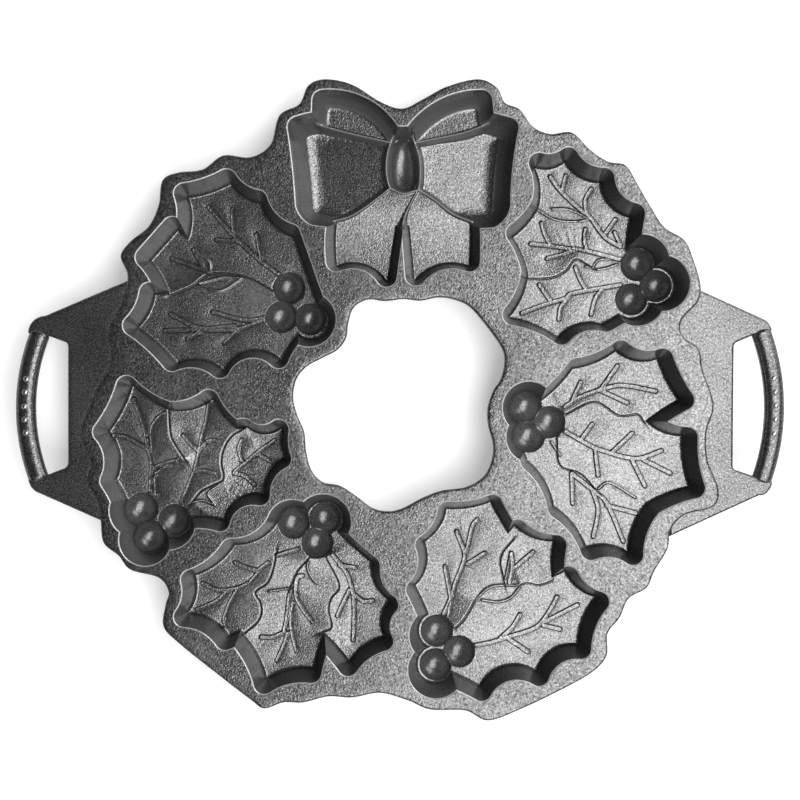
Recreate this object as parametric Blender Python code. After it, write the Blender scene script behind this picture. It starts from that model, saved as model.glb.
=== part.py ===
"""Cast iron wreath pan: a flat deck with a bow mould and six holly moulds hanging under it, and two side handles.

The pan lies on its berry bosses, cavities up. X runs through the two handles, Y up to the bow, Z up.
Outlines are in millimetres from the middle of the pan, and every solid is built in metres.
"""

import math

import bmesh
import bpy
import numpy as np

MM = 0.001

# Heights and depths
PAN_HEIGHT = 30.0
DECK_THICKNESS = 4.5
LEAF_DEPTH = 21.0
BERRY_DEPTH = 5.0
LOOP_DEPTH = 14.5
TAIL_DEPTH = 18.0
KNOT_DEPTH = 4.5

# Walls, draft and clearance
FLOOR_WALL = 3.5
SIDE_WALL = 3.0
WALL_RUN = 4.3
TIP_RADIUS = 0.8
JOINT_GAP = 0.3
BERRY_RADIUS = 8.2
BERRY_WALL = 4.4
KNOT_HALF_WIDTH = 8.0
KNOT_HALF_LENGTH = 14.2
KNOT_WALL = 5.0

# Ridges between the bow's compartments, and the veins on the leaves
LOOP_RIDGE_RISE = 1.4
TAIL_RIDGE_RISE = 3.2
RIDGE_CREST = 1.0
VEIN_RADIUS = 1.2
VEIN_SINK = 0.25
VEIN_TIP_SHARE = 0.6

# Handles
BRACKET_THICKNESS = 4.5
BRACKET_STEP = 1.2
GRIP_WIDTH = 10.0
GRIP_THICKNESS = 8.4
GRIP_STEP = 0.2
GRIP_SEAT_RUN = 3.0

# How finely curves are cut into facets
FINE_STEP = 0.5
RIM_TOLERANCE = 0.3
HIDDEN_TOLERANCE = 0.4
FAN_STEP = math.radians(34)
ROUND_SEGMENTS = 16
GRIP_SIDES = 12
TRIM_SLACK = 0.02
SAME_POINT = 0.002

FLOOR_Z = PAN_HEIGHT - LEAF_DEPTH
DECK_UNDER_Z = PAN_HEIGHT - DECK_THICKNESS
MOULD_TOP_Z = DECK_UNDER_Z - JOINT_GAP
MOULD_UNDER_Z = FLOOR_Z - FLOOR_WALL
CUT_PAST = 2.0

# Each outline runs clockwise at floor level. A row is a corner and the edge to the next one: a number bows
# the edge in (negative) or out, and a pair is the middle of the berry that the edge goes round.
HOLLY_OUTLINES = {
    "holly_mould_upper_left": [
        (-52, 34, -0.8), (-60.8, 20.5, -7.6), (-90.2, 15.5, -3.5), (-114, 19, -1), (-133.5, 36.8, -1.5),
        (-125.2, 53.2, -0.3), (-117.5, 54.2, -1.2), (-127.2, 70.8, 0), (-113.8, 86, 0), (-108.5, 81.2, -2),
        (-108, 102.8, -1), (-86.8, 109.8, -2), (-71.5, 99.5, -3), (-55, 82.5, 0), (-42.8, 47.8, (-45.8, 39.8)),
    ],
    "holly_mould_left": [
        (-139, -51.8, -0.3), (-144.8, -41, -3.7), (-148.5, -16.5, -1.2), (-136.8, 6.5, -1.5), (-116, -6.5, -2),
        (-95.8, -0.5, -1.2), (-83.5, -15.5, 0), (-78.2, -15, -3), (-60.8, -15.5, -1), (-59.5, -29.8, -3.2),
        (-70.2, -48.2, -5), (-90.2, -61.2, -1.2), (-107.8, -60.2, (-115.8, -62)),
        (-119.8, -69.2, (-127.5, -70.5)), (-132, -64, (-132.2, -56)),
    ],
    "holly_mould_lower_left": [
        (-32.5, -67.8, -0.5), (-15.2, -83.5, -3), (-6, -103, -3), (-8.5, -121, -2), (-26, -133.5, -0.5),
        (-39, -118.8, -0.5), (-44.5, -137, -2.2), (-68, -142.5, -1.8), (-81.5, -118, 0), (-87.5, -120.5, -2.8),
        (-108, -109, -2.2), (-104.5, -90.5, -2.2), (-84.5, -75, -4), (-61.2, -61, (-54.5, -63.5)),
        (-47.2, -59, (-38.2, -61.8)),
    ],
    "holly_mould_lower_right": [
        (15, -110.5, -0.3), (8.2, -95.5, -3.5), (12.8, -73.2, -2.2), (24, -56.5, -1.3), (46.2, -53, -0.3),
        (55.5, -69.2, 0), (58.5, -65.5, -2), (78.2, -73.2, -0.8), (77.5, -92, 0), (84.2, -88.8, -2.2),
        (99.5, -101.5, -2.2), (90.5, -125, -4.5), (69.5, -138.5, -6.5), (40.8, -146, -0.3),
        (26.2, -139, (18, -135.8)), (17, -127, (18.5, -118.5)),
    ],
    "holly_mould_right": [
        (72, -1.5, -1), (88.5, 15.2, -1.5), (110.5, 24.2, -3), (131.5, 20.2, -0.8), (142, -0.5, -0.5),
        (125.2, -11.2, -2), (143.8, -19.2, -1.3), (147.5, -44.5, -1), (126, -53, -2.5), (116.5, -78, -2.8),
        (95.5, -75.5, -2.3), (79, -54.5, -2.5), (65.5, -31, 0), (64, -26.5, (66, -19)),
        (62.5, -12.2, (64.5, -4.5)),
    ],
    "holly_mould_upper_right": [
        (112.5, 44, 0), (103, 38.8, -3.5), (80.8, 32.2, -1.5), (56.5, 42.2, -1.8), (66, 64.2, -1),
        (58.2, 82.8, -1), (70.8, 97, -2), (69.5, 118, -1.8), (84.2, 120.8, -2.8), (102.2, 110.5, -4),
        (117.5, 92.8, -0.5), (115.5, 75, (121.2, 68.8)), (129.5, 66.8, (131, 58)), (127.5, 49.8, (118.5, 50.8)),
    ],
}

# The middles of each sprig's three berries
HOLLY_BERRIES = {
    "holly_mould_upper_left": [(-56.8, 56.8), (-60.8, 42), (-46, 41)],
    "holly_mould_left": [(-132.2, -56), (-127.5, -70.5), (-115.8, -62)],
    "holly_mould_lower_left": [(-54.5, -63.5), (-38.5, -61.2), (-42.5, -73.5)],
    "holly_mould_lower_right": [(18.8, -118.8), (30.2, -129.4), (18.2, -136)],
    "holly_mould_right": [(64.5, -4.2), (66, -19.2), (76.5, -11.8)],
    "holly_mould_upper_right": [(121.2, 68.8), (131, 58), (118.5, 51.2)],
}

# The main veins of each sprig's leaves, from the stalk to the tip
HOLLY_VEINS = {
    "holly_mould_upper_left": [
        [(-60, 62.5), (-71, 70.5), (-84.5, 83), (-98, 98.5)],
        [(-97.5, 65), (-117, 72)],
        [(-67.5, 41), (-84.5, 35.5), (-102.5, 35.5), (-120.5, 35)],
    ],
    "holly_mould_left": [
        [(-128, -47), (-127.5, -32.5), (-131, -15.5), (-136.5, 0)],
        [(-112, -53), (-105, -35.5), (-101.5, -19), (-98, -3)],
        [(-85, -37.5), (-76.5, -30.5), (-64.5, -21.5)],
    ],
    "holly_mould_lower_left": [
        [(-35.5, -78.5), (-27.5, -89), (-23.5, -108), (-24, -123.5)],
        [(-50, -90.5), (-56, -97), (-56, -112), (-53, -129)],
        [(-67.5, -84), (-76, -93), (-92.5, -98), (-101, -94.5)],
    ],
    "holly_mould_lower_right": [
        [(24.5, -112), (28, -95.5), (33, -79), (29, -68)],
        [(56, -94), (57.5, -86.5), (57, -79)],
        [(38, -126.5), (55, -122), (72, -115), (80.5, -101.5)],
    ],
    "holly_mould_right": [
        [(84.5, -4), (93.5, 1.5), (109, 6.5), (131, 4)],
        [(84.5, -16.5), (102.5, -26), (120.5, -30.5), (134, -26.5)],
        [(88, -38), (98.5, -46.5), (106, -53.5), (114.5, -73)],
    ],
    "holly_mould_upper_right": [
        [(113, 78), (97.5, 93), (87, 102), (77, 114)],
        [(113, 71.5), (95, 76), (67, 79.5)],
        [(113, 58.5), (101, 56.5), (84.5, 51.5), (62.5, 44)],
    ],
}

BOW_OUTLINE = [
    (-4, 131.2, 0), (6.5, 131.2, 5), (41, 149.5, 0), (42.2, 139, 0), (54.2, 135.8, -1), (50, 97, 0.8),
    (45.5, 90.8, 0), (34.5, 90.2, 0.3), (34.8, 68.8, -4.5), (7.8, 61.8, 0), (5.6, 89.5, 0), (-3, 89.5, 0),
    (-6.8, 61.2, -4.8), (-31.8, 68.8, 0.8), (-31, 90.5, 0), (-42.5, 92, 0.8), (-47, 97.5, -0.5),
    (-51.2, 136.2, 0.3), (-39.2, 139, 0), (-38.8, 149.5, 6),
]
KNOT_MIDDLE = (1.5, 118.2)

# The raised floors on the bow's left half: the loop behind it, and the tail below it
BOW_LOOP_FLOOR = [
    (-41, 151.5), (-29, 151.8), (-18, 148), (-10, 141.5), (-4, 133), (-5.5, 128), (-28, 134), (-41, 139.8),
]
BOW_TAIL_FLOOR = [
    (-33, 89.5), (-24, 93), (-14, 98.5), (-5, 104.5), (1.2, 103.5), (-1.6, 89.5), (-4.6, 61), (-7, 59.4),
    (-12, 63.5), (-20, 69), (-32, 67), (-33.6, 70),
]
BOW_MIDDLE_X = 1.5

# Lines of the ridges on the bow's left half: above the lobe and beside the knot, and below the lobe
BOW_LOOP_RIDGES = [
    [(-40.5, 139.2), (-34, 137.2), (-21.3, 134.1), (-4.6, 130.4)],
    [(-3.4, 133.2), (-6.1, 126.5), (-7.2, 118.2), (-6.6, 112.3), (-5.6, 107)],
]
BOW_TAIL_RIDGES = [
    [(-6, 106.7), (-16.3, 98.6), (-25.4, 93), (-33, 90.8)],
    [(-6, 106.9), (1.5, 104.2), (9, 106.9)],
]

# Smooth closed curves through these points, clockwise
DECK_OUTLINE = [
    (1, 145.5), (12, 150.5), (23.5, 156.5), (39, 160.2), (48.5, 156), (52.5, 148.5), (60, 145), (66.5, 136.5),
    (75, 132.8), (86, 133.5), (95, 125), (104, 119), (113, 117), (119, 107.5), (126, 95.5), (132.5, 86),
    (142.5, 79.5), (147, 69.5), (150.5, 57), (149, 48.5), (141, 39.5), (141.5, 31.5), (149.5, 25), (151.5, 14.5),
    (157, -3), (153.5, -16.5), (154, -30.5), (159.5, -45.5), (156.5, -54), (142.5, -58), (135.5, -65.5),
    (134, -75), (127.5, -86), (123.5, -94.5), (114.5, -100), (110, -109.5), (104, -117.5), (103.5, -128.5),
    (96, -137), (80, -146), (60, -155.5), (44, -161), (32.5, -156), (15, -155.5), (4, -151), (-10, -147.2),
    (-24, -149.5), (-36, -149), (-48.5, -152), (-58.5, -152), (-68, -155), (-75, -150.5), (-92.5, -137),
    (-110, -123), (-118.5, -114), (-117.5, -103), (-116, -96.5), (-121, -89.5), (-135, -85.5), (-141, -78.5),
    (-148.5, -72), (-150, -61), (-151.5, -51.5), (-156.5, -41.5), (-155, -31.5), (-160, -18), (-156, -4.5),
    (-151, 7), (-145, 18.5), (-146, 34.5), (-139.5, 48.5), (-136.5, 61.5), (-140, 71.5), (-135, 79),
    (-126, 86.5), (-121, 97), (-119, 109.5), (-111, 113.5), (-99, 115), (-88.5, 122), (-75, 121.2),
    (-65, 127.5), (-60.5, 142), (-50.5, 147.8), (-46, 157), (-37.5, 160.2), (-24, 157.5), (-10, 149),
]
CENTRE_HOLE = [
    (-16, 49.8), (-7.5, 49), (1.5, 50), (10, 49.2), (18.5, 50.8), (26, 50), (33.5, 47), (40, 40.5), (50, 27),
    (52.2, 19.5), (50.5, 10.5), (46.5, 4), (43.8, -4.5), (44, -13), (46.5, -23), (45.5, -31.5), (41.5, -39),
    (33, -44), (20, -46), (10, -50), (1.5, -54.5), (-6, -56.2), (-14, -54.5), (-21.5, -49), (-30, -43.5),
    (-39, -41.5), (-44.5, -35.5), (-47, -26.5), (-48, -16.5), (-51.5, -8), (-53.5, 0.5), (-52, 9.5), (-47, 16),
    (-39, 20.5), (-31.5, 24.5), (-27, 30.5), (-25.8, 38.5), (-23, 46),
]

# A handle bracket is a plate round a hand slot, and a row is a corner and the edge to the next one. The plate
# runs in under the deck's outline, which it is cut to. The grip's line starts and ends on the plate's two seats.
BRACKET_OUTLINES = {
    "left": [
        (-130, -4, 0), (-135, -68, 0), (-150, -61, 0), (-182.5, -46.6, 0.8), (-186.5, -40.5, 0),
        (-177, -38, 0), (-168, -34.5, -0.4), (-166.5, -31.5, 0), (-166.5, 26.5, -0.4), (-168, 28.5, 0),
        (-176, 31.5, 0), (-186.5, 33, 0.6), (-184.6, 38.6, 0.8), (-178, 41.8, 0), (-135, 60.2, 0),
    ],
    "right": [
        (130, -4, 0), (135, 61.6, 0), (182.5, 40, 0.8), (186.5, 34.5, 0), (176.5, 31.8, 0),
        (168.8, 28.5, -0.4), (167.3, 26, 0), (166.8, -33, -0.4), (168, -35.5, 0), (177, -38.5, 0),
        (186.5, -41.5, 0.6), (184.8, -46, 0.8), (180, -48.4, 0), (142.5, -65.5, 0), (135, -69, 0),
    ],
}
GRIP_LINES = {
    "left": [(-181.2, 32.2), (-188, -3), (-181.8, -39.2)],
    "right": [(181.8, -40), (188, -3.5), (181.5, 33.1)],
}

DECK_IRON = (0.072, 0.072, 0.074, 1.0)
MOULD_IRON = (0.060, 0.060, 0.062, 1.0)
HANDLE_IRON = (0.080, 0.080, 0.082, 1.0)


def clear_scene():
    """Removes whatever the scene holds."""
    for obj in list(bpy.data.objects):
        bpy.data.objects.remove(obj, do_unlink=True)


def new_collection(name, parent=None):
    """An empty collection in the scene or in another collection."""
    made = bpy.data.collections.new(name)
    (parent or bpy.context.scene.collection).children.link(made)
    return made


def iron(name, colour):
    """Seasoned cast iron: nearly black, with a satin sheen."""
    material = bpy.data.materials.new(name)
    material.use_nodes = True
    shader = material.node_tree.nodes["Principled BSDF"]
    shader.inputs["Base Color"].default_value = colour
    shader.inputs["Roughness"].default_value = 0.55
    shader.inputs["Metallic"].default_value = 0.35
    return material


def bowed_edge(start, end, bow):
    """Points from one corner to the next along an arc whose middle stands out by bow."""
    chord = end - start
    length = math.hypot(*chord)
    share = np.linspace(0, 1, max(math.ceil(length / FINE_STEP), 2) + 1)[:, None]
    if abs(bow) < SAME_POINT:
        return start + share * chord
    along = chord / length
    out = np.array([-along[1], along[0]])
    half_turn = 2 * math.atan(2 * bow / length)
    radius = length / (2 * math.sin(half_turn))
    middle = (start + end) / 2 - out * radius * math.cos(half_turn)
    turn = half_turn * (2 * share - 1)
    return middle + radius * (out * np.cos(turn) + along * np.sin(turn))


def round_edge(start, end, middle):
    """Points from one corner to the next, clockwise round the middle of a berry."""
    arms = [start - middle, end - middle]
    first, last = [math.atan2(arm[1], arm[0]) for arm in arms]
    sweep = (first - last) % (2 * math.pi)
    reach = [math.hypot(*arm) for arm in arms]
    share = np.linspace(0, 1, math.ceil(sweep * max(reach) / FINE_STEP) + 1)[:, None]
    angle = first - sweep * share
    radius = reach[0] + share * (reach[1] - reach[0])
    return middle + radius * np.hstack([np.cos(angle), np.sin(angle)])


def outward_of(run):
    """The unit vectors that point to the left of a run of points, one at each."""
    ahead = np.gradient(run, axis=0)
    ahead /= np.linalg.norm(ahead, axis=1, keepdims=True)
    return np.column_stack([-ahead[:, 1], ahead[:, 0]])


def traced(rows):
    """A cornered outline as a line: its points, and the way that faces out at each.

    A tip has a fan of ways out and a notch has two, so the same points serve every offset.
    """
    points, outward = [], []
    corners = [np.array(row[:2], float) for row in rows]
    runs = []
    for index, row in enumerate(rows):
        start = corners[index]
        end = corners[(index + 1) % len(rows)]
        if isinstance(row[2], tuple):
            runs.append(round_edge(start, end, np.array(row[2], float)))
        else:
            runs.append(bowed_edge(start, end, row[2]))
    sides = [outward_of(run) for run in runs]
    for index, run in enumerate(runs):
        points.append(run)
        outward.append(sides[index])
        arriving = math.atan2(sides[index][-1][1], sides[index][-1][0])
        leaving_side = sides[(index + 1) % len(runs)][0]
        leaving = math.atan2(leaving_side[1], leaving_side[0])
        turn = (arriving - leaving + math.pi) % (2 * math.pi) - math.pi
        steps = math.ceil(turn / FAN_STEP)
        if steps > 1:
            angle = arriving - turn * np.arange(1, steps) / steps
            outward.append(np.column_stack([np.cos(angle), np.sin(angle)]))
            points.append(np.repeat(run[-1:], steps - 1, axis=0))
    return np.vstack(points), np.vstack(outward)


def smooth_line(corners):
    """A smooth closed curve through the corners, as a line: its points, and the way that faces out at each."""
    knots = np.array(corners, float)
    before, after, second = np.roll(knots, 1, 0), np.roll(knots, -1, 0), np.roll(knots, -2, 0)
    pieces = []
    for p0, p1, p2, p3 in zip(before, knots, after, second):
        t = np.linspace(0, 1, max(math.ceil(math.hypot(*(p2 - p1)) / FINE_STEP), 2) + 1)[:-1, None]
        pieces.append(0.5 * (
            2 * p1 + (p2 - p0) * t + (2 * p0 - 5 * p1 + 4 * p2 - p3) * t**2 + (3 * p1 - p0 - 3 * p2 + p3) * t**3
        ))
    points = np.vstack(pieces)
    ahead = np.roll(points, -1, 0) - np.roll(points, 1, 0)
    ahead /= np.linalg.norm(ahead, axis=1, keepdims=True)
    return points, np.column_stack([-ahead[:, 1], ahead[:, 0]])


def distance_to(places, line):
    """How far each place is from a closed line."""
    start = line
    chord = np.roll(line, -1, 0) - line
    length = np.maximum((chord**2).sum(1), 1e-12)
    arm = places[:, None, :] - start[None]
    share = np.clip((arm * chord).sum(2) / length, 0, 1)
    return np.linalg.norm(arm - share[..., None] * chord, axis=2).min(1)


def crossing(a, b, c, d):
    """Where the line through a and b meets the line through c and d, or halfway from a to d if it is far off."""
    first, second = b - a, d - c
    area = first[0] * second[1] - first[1] * second[0]
    halfway = (a + d) / 2
    if abs(area) < 1e-9:
        return halfway
    share = ((c - a)[0] * second[1] - (c - a)[1] * second[0]) / area
    spot = a + share * first
    return spot if math.hypot(*(spot - halfway)) < 4 * FINE_STEP else halfway


def offset(line, distance):
    """The line's points moved out by a distance, with the stretches that run into each other cut back to a notch."""
    points, outward = line
    moved = points + distance * outward
    if abs(distance) < SAME_POINT:
        return moved
    clear = distance_to(moved, points) > abs(distance) - TRIM_SLACK
    first = int(np.argmax(clear & ~np.roll(clear, -1))) if not clear.all() else 0
    order = np.roll(np.arange(len(moved)), -first)
    place = 1
    while place < len(order):
        if clear[order[place]]:
            place += 1
            continue
        end = place
        while end + 1 < len(order) and not clear[order[end + 1]]:
            end += 1
        after = order[(end + 1) % len(order)]
        notch = crossing(moved[order[place - 1]], moved[order[place]], moved[order[end]], moved[after])
        moved[order[place : end + 1]] = notch
        place = end + 1
    return moved


def needed(loops, tolerances):
    """The places that keep each loop within its tolerance when the loop's other points are left out."""
    count = len(loops[0])
    closed = [np.vstack([loop, loop[:1]]) for loop in loops]
    kept = {0}
    spans = [(0, count)]
    while spans:
        low, high = spans.pop()
        if high - low < 2:
            continue
        off = np.zeros(high - low - 1)
        for loop, tolerance in zip(closed, tolerances):
            chord = loop[high] - loop[low]
            arm = loop[low + 1 : high] - loop[low]
            share = np.clip(arm @ chord / max(chord @ chord, 1e-12), 0, 1)[:, None]
            off = np.maximum(off, np.linalg.norm(arm - share * chord, axis=1) / tolerance)
        if off.max() > 1:
            middle = low + 1 + int(off.argmax())
            kept.add(middle)
            spans += [(low, middle), (middle, high)]
    return sorted(kept)


def ring_of(mesh, loop, height):
    """A ring of vertices along a loop at one height, in which neighbours at the same place are one vertex."""
    ring = []
    for x, y in loop:
        spot = (x * MM, y * MM, height * MM)
        if ring and math.dist(ring[-1].co, spot) < SAME_POINT * MM:
            ring.append(ring[-1])
        else:
            ring.append(mesh.verts.new(spot))
    if math.dist(ring[0].co, ring[-1].co) < SAME_POINT * MM:
        last = ring[-1]
        ring = [ring[0] if vert is last else vert for vert in ring]
        mesh.verts.remove(last)
    return ring


def loft(name, loops, heights, collection):
    """A solid through level loops that have the same number of points, closed by a flat face at each end."""
    mesh = bmesh.new()
    rings = [ring_of(mesh, loop, height) for loop, height in zip(loops, heights)]
    for lower, upper in zip(rings, rings[1:]):
        for place in range(len(lower)):
            corners = dict.fromkeys([lower[place - 1], lower[place], upper[place], upper[place - 1]])
            if len(corners) > 2:
                mesh.faces.new(list(corners))
    bmesh.ops.triangulate(mesh, faces=mesh.faces[:])
    mesh.faces.new(list(dict.fromkeys(rings[0])))
    mesh.faces.new(list(dict.fromkeys(rings[-1])))
    bmesh.ops.recalc_face_normals(mesh, faces=mesh.faces[:])
    data = bpy.data.meshes.new(name)
    mesh.to_mesh(data)
    mesh.free()
    obj = bpy.data.objects.new(name, data)
    collection.objects.link(obj)
    return obj


def plate(name, loop, bottom, top, collection):
    """A flat plate: a filled 2D curve along the loop, extruded between two heights and made a mesh."""
    curve = bpy.data.curves.new(name, "CURVE")
    curve.dimensions = "2D"
    curve.fill_mode = "BOTH"
    curve.extrude = (top - bottom) / 2 * MM
    spline = curve.splines.new("POLY")
    spline.points.add(len(loop) - 1)
    for point, (x, y) in zip(spline.points, loop):
        point.co = (x * MM, y * MM, 0, 1)
    spline.use_cyclic_u = True
    guide = bpy.data.objects.new(name, curve)
    guide.location.z = (top + bottom) / 2 * MM
    return meshed(guide, collection)


def meshed(guide, collection):
    """The mesh object that a curve object makes, welded closed, in place of the curve."""
    bpy.context.scene.collection.objects.link(guide)
    bpy.context.view_layer.update()
    graph = bpy.context.evaluated_depsgraph_get()
    data = bpy.data.meshes.new_from_object(guide.evaluated_get(graph))
    mesh = bmesh.new()
    mesh.from_mesh(data)
    bmesh.ops.remove_doubles(mesh, verts=mesh.verts[:], dist=SAME_POINT * MM)
    bmesh.ops.recalc_face_normals(mesh, faces=mesh.faces[:])
    mesh.to_mesh(data)
    mesh.free()
    name = guide.name
    guide.name = name + "_guide"
    data.name = name
    obj = bpy.data.objects.new(name, data)
    obj.matrix_world = guide.matrix_world
    bpy.data.objects.remove(guide, do_unlink=True)
    collection.objects.link(obj)
    return obj


def ridge(name, places, bottom, crest, collection):
    """A wall along a line, as wide as the crest at its top, whose two sides lean out downwards with the draft."""
    run = np.array(places, float)
    out = outward_of(run)
    loops = []
    for height in (bottom, crest):
        half = RIDGE_CREST / 2 + (crest - height) * WALL_RUN / LEAF_DEPTH
        loops.append(np.vstack([run + half * out, (run - half * out)[::-1]]))
    return loft(name, loops, [bottom, crest], collection)


def vein(name, places, collection):
    """A leaf vein: a four-sided rod along a line, thinner towards the tip, that stands half out of the floor."""
    curve = bpy.data.curves.new(name, "CURVE")
    curve.dimensions = "3D"
    curve.bevel_depth = VEIN_RADIUS * MM
    curve.bevel_resolution = 0
    curve.use_fill_caps = True
    spline = curve.splines.new("POLY")
    spline.points.add(len(places) - 1)
    for index, (point, (x, y)) in enumerate(zip(spline.points, places)):
        point.co = (x * MM, y * MM, 0, 1)
        point.radius = 1 - (1 - VEIN_TIP_SHARE) * index / (len(places) - 1)
    guide = bpy.data.objects.new(name, curve)
    guide.location.z = (FLOOR_Z - VEIN_SINK) * MM
    return meshed(guide, collection)


def ball(name, middle, half_sizes, height, collection):
    """A ball or ellipsoid about a middle at one height, with its poles on the upright line."""
    mesh = bmesh.new()
    bmesh.ops.create_uvsphere(mesh, u_segments=ROUND_SEGMENTS, v_segments=ROUND_SEGMENTS // 2, radius=1)
    bmesh.ops.scale(mesh, vec=[half * MM for half in half_sizes], verts=mesh.verts[:])
    data = bpy.data.meshes.new(name)
    mesh.to_mesh(data)
    mesh.free()
    obj = bpy.data.objects.new(name, data)
    obj.location = (middle[0] * MM, middle[1] * MM, height * MM)
    collection.objects.link(obj)
    return obj


def slab(name, low, high, collection):
    """A box between two corners."""
    mesh = bmesh.new()
    bmesh.ops.create_cube(mesh, size=1)
    bmesh.ops.scale(mesh, vec=[(b - a) * MM for a, b in zip(low, high)], verts=mesh.verts[:])
    data = bpy.data.meshes.new(name)
    mesh.to_mesh(data)
    mesh.free()
    obj = bpy.data.objects.new(name, data)
    obj.location = [(a + b) / 2 * MM for a, b in zip(low, high)]
    collection.objects.link(obj)
    return obj


def combine(obj, operation, tools):
    """A Boolean modifier with every object of a collection, which are hidden as tools."""
    for tool in tools.objects:
        tool.hide_render = True
        tool.display_type = "WIRE"
    modifier = obj.modifiers.new(tools.name, "BOOLEAN")
    modifier.operation = operation
    modifier.operand_type = "COLLECTION"
    modifier.collection = tools
    modifier.solver = "EXACT"


def wall_offset(height):
    """How far a mould's inner wall stands out from its outline at one height: the draft leans it out upwards."""
    return TIP_RADIUS + WALL_RUN * (height - FLOOR_Z) / LEAF_DEPTH


def drafted(name, line, heights, extra, tolerance, collection):
    """A loft whose sides lean out with the draft, extra millimetres outside the mould's inner wall."""
    loops = [offset(line, wall_offset(height) + extra) for height in heights]
    places = needed(loops, [tolerance] * len(loops))
    return loft(name, [loop[places] for loop in loops], heights, collection)


def below_table(name, line, collection):
    """A box under the mould that leaves its bosses flat where they stand."""
    low = line[0].min(0) - 2 * BERRY_RADIUS
    high = line[0].max(0) + 2 * BERRY_RADIUS
    return slab(name, (*low, -CUT_PAST * 4), (*high, 0), collection)


def pit_middle_height(depth, radius):
    """The height of a ball's middle, for a pit that goes down by a depth below the leaf floor."""
    return FLOOR_Z - depth + radius


def mould(name, line, bosses, floors, ridges, veins, pits, colour, parts, tools):
    """One mould: a drafted shell with bosses under it, hollowed, with its relief put in and pits cut last."""
    obj = drafted(name, line, [MOULD_UNDER_Z, MOULD_TOP_Z], SIDE_WALL, HIDDEN_TOLERANCE, parts)
    added = new_collection(name + "_bosses", tools)
    for index, (middle, half_sizes, height) in enumerate(bosses):
        ball(f"{name}_boss_{index}", middle, half_sizes, height, added)
    hollow = new_collection(name + "_hollow", tools)
    drafted(name + "_cavity", line, [FLOOR_Z, PAN_HEIGHT + CUT_PAST], 0, RIM_TOLERANCE, hollow)
    below_table(name + "_table", line, hollow)
    raised = new_collection(name + "_floors", tools)
    for index, (loop, bottom, top) in enumerate(floors):
        plate(f"{name}_floor_{index}", loop, bottom, top, raised)
    for index, (places, bottom, crest) in enumerate(ridges):
        ridge(f"{name}_ridge_{index}", places, bottom, crest, raised)
    for index, places in enumerate(veins):
        vein(f"{name}_vein_{index}", places, raised)
    pitted = new_collection(name + "_pits", tools)
    for index, (middle, half_sizes, height) in enumerate(pits):
        ball(f"{name}_pit_{index}", middle, half_sizes, height, pitted)
    obj.data.materials.append(iron(name, colour))
    steps = [("UNION", added), ("DIFFERENCE", hollow), ("UNION", raised), ("DIFFERENCE", pitted)]
    return obj, [step for step in steps if step[1].objects]


def holly_mould(name, parts, tools):
    """A holly mould: three veined leaves on one floor, with three round berry pits that stand on bosses."""
    height = pit_middle_height(BERRY_DEPTH, BERRY_RADIUS)
    boss = BERRY_RADIUS + BERRY_WALL
    bosses = [(middle, (boss, boss, boss), height) for middle in HOLLY_BERRIES[name]]
    pits = [(middle, (BERRY_RADIUS,) * 3, height) for middle in HOLLY_BERRIES[name]]
    veins = HOLLY_VEINS[name]
    return mould(name, traced(HOLLY_OUTLINES[name]), bosses, [], [], veins, pits, MOULD_IRON, parts, tools)


def mirrored(loop):
    """The bow's right-hand copy of a left-hand loop."""
    return [(2 * BOW_MIDDLE_X - x, y) for x, y in reversed(loop)]


def bow_mould(parts, tools):
    """The bow mould: loops and tails on raised floors, two deep lobes, the ridges between, and a knot pit."""
    height = pit_middle_height(KNOT_DEPTH, KNOT_HALF_WIDTH)
    knot = (KNOT_HALF_WIDTH, KNOT_HALF_LENGTH, KNOT_HALF_WIDTH)
    boss = tuple(half + KNOT_WALL for half in knot)
    bottom = FLOOR_Z - FLOOR_WALL / 2
    floors = []
    for loop, depth in ((BOW_LOOP_FLOOR, LOOP_DEPTH), (BOW_TAIL_FLOOR, TAIL_DEPTH)):
        floors.append((loop, bottom, PAN_HEIGHT - depth))
        floors.append((mirrored(loop), bottom, PAN_HEIGHT - depth))
    ridges = []
    for lines, depth, rise in (
        (BOW_LOOP_RIDGES, LOOP_DEPTH, LOOP_RIDGE_RISE), (BOW_TAIL_RIDGES, TAIL_DEPTH, TAIL_RIDGE_RISE),
    ):
        for places in lines:
            crest = PAN_HEIGHT - depth + rise
            ridges.append((places, bottom, crest))
            if places[-1][0] < BOW_MIDDLE_X:
                ridges.append((mirrored(places), bottom, crest))
    return mould(
        "bow_mould", traced(BOW_OUTLINE), [(KNOT_MIDDLE, boss, height)], floors, ridges, [],
        [(KNOT_MIDDLE, knot, height)], MOULD_IRON, parts, tools,
    )


def deck(lines, parts, tools):
    """The deck: a flat plate with a drafted opening over each mould and the wavy hole in the middle."""
    outline = smooth_line(DECK_OUTLINE)[0]
    obj = plate("wreath_deck", outline[needed([outline], [RIM_TOLERANCE])], DECK_UNDER_Z, PAN_HEIGHT, parts)
    openings = new_collection("deck_openings", tools)
    for name, line in lines.items():
        heights = [DECK_UNDER_Z - CUT_PAST, PAN_HEIGHT + CUT_PAST]
        drafted(name + "_opening", line, heights, 0, RIM_TOLERANCE, openings)
    hole = smooth_line(CENTRE_HOLE)[0]
    plate(
        "centre_hole", hole[needed([hole], [RIM_TOLERANCE])], DECK_UNDER_Z - CUT_PAST, PAN_HEIGHT + CUT_PAST, openings
    )
    obj.data.materials.append(iron("wreath_deck", DECK_IRON))
    return obj, [("DIFFERENCE", openings)]


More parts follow.
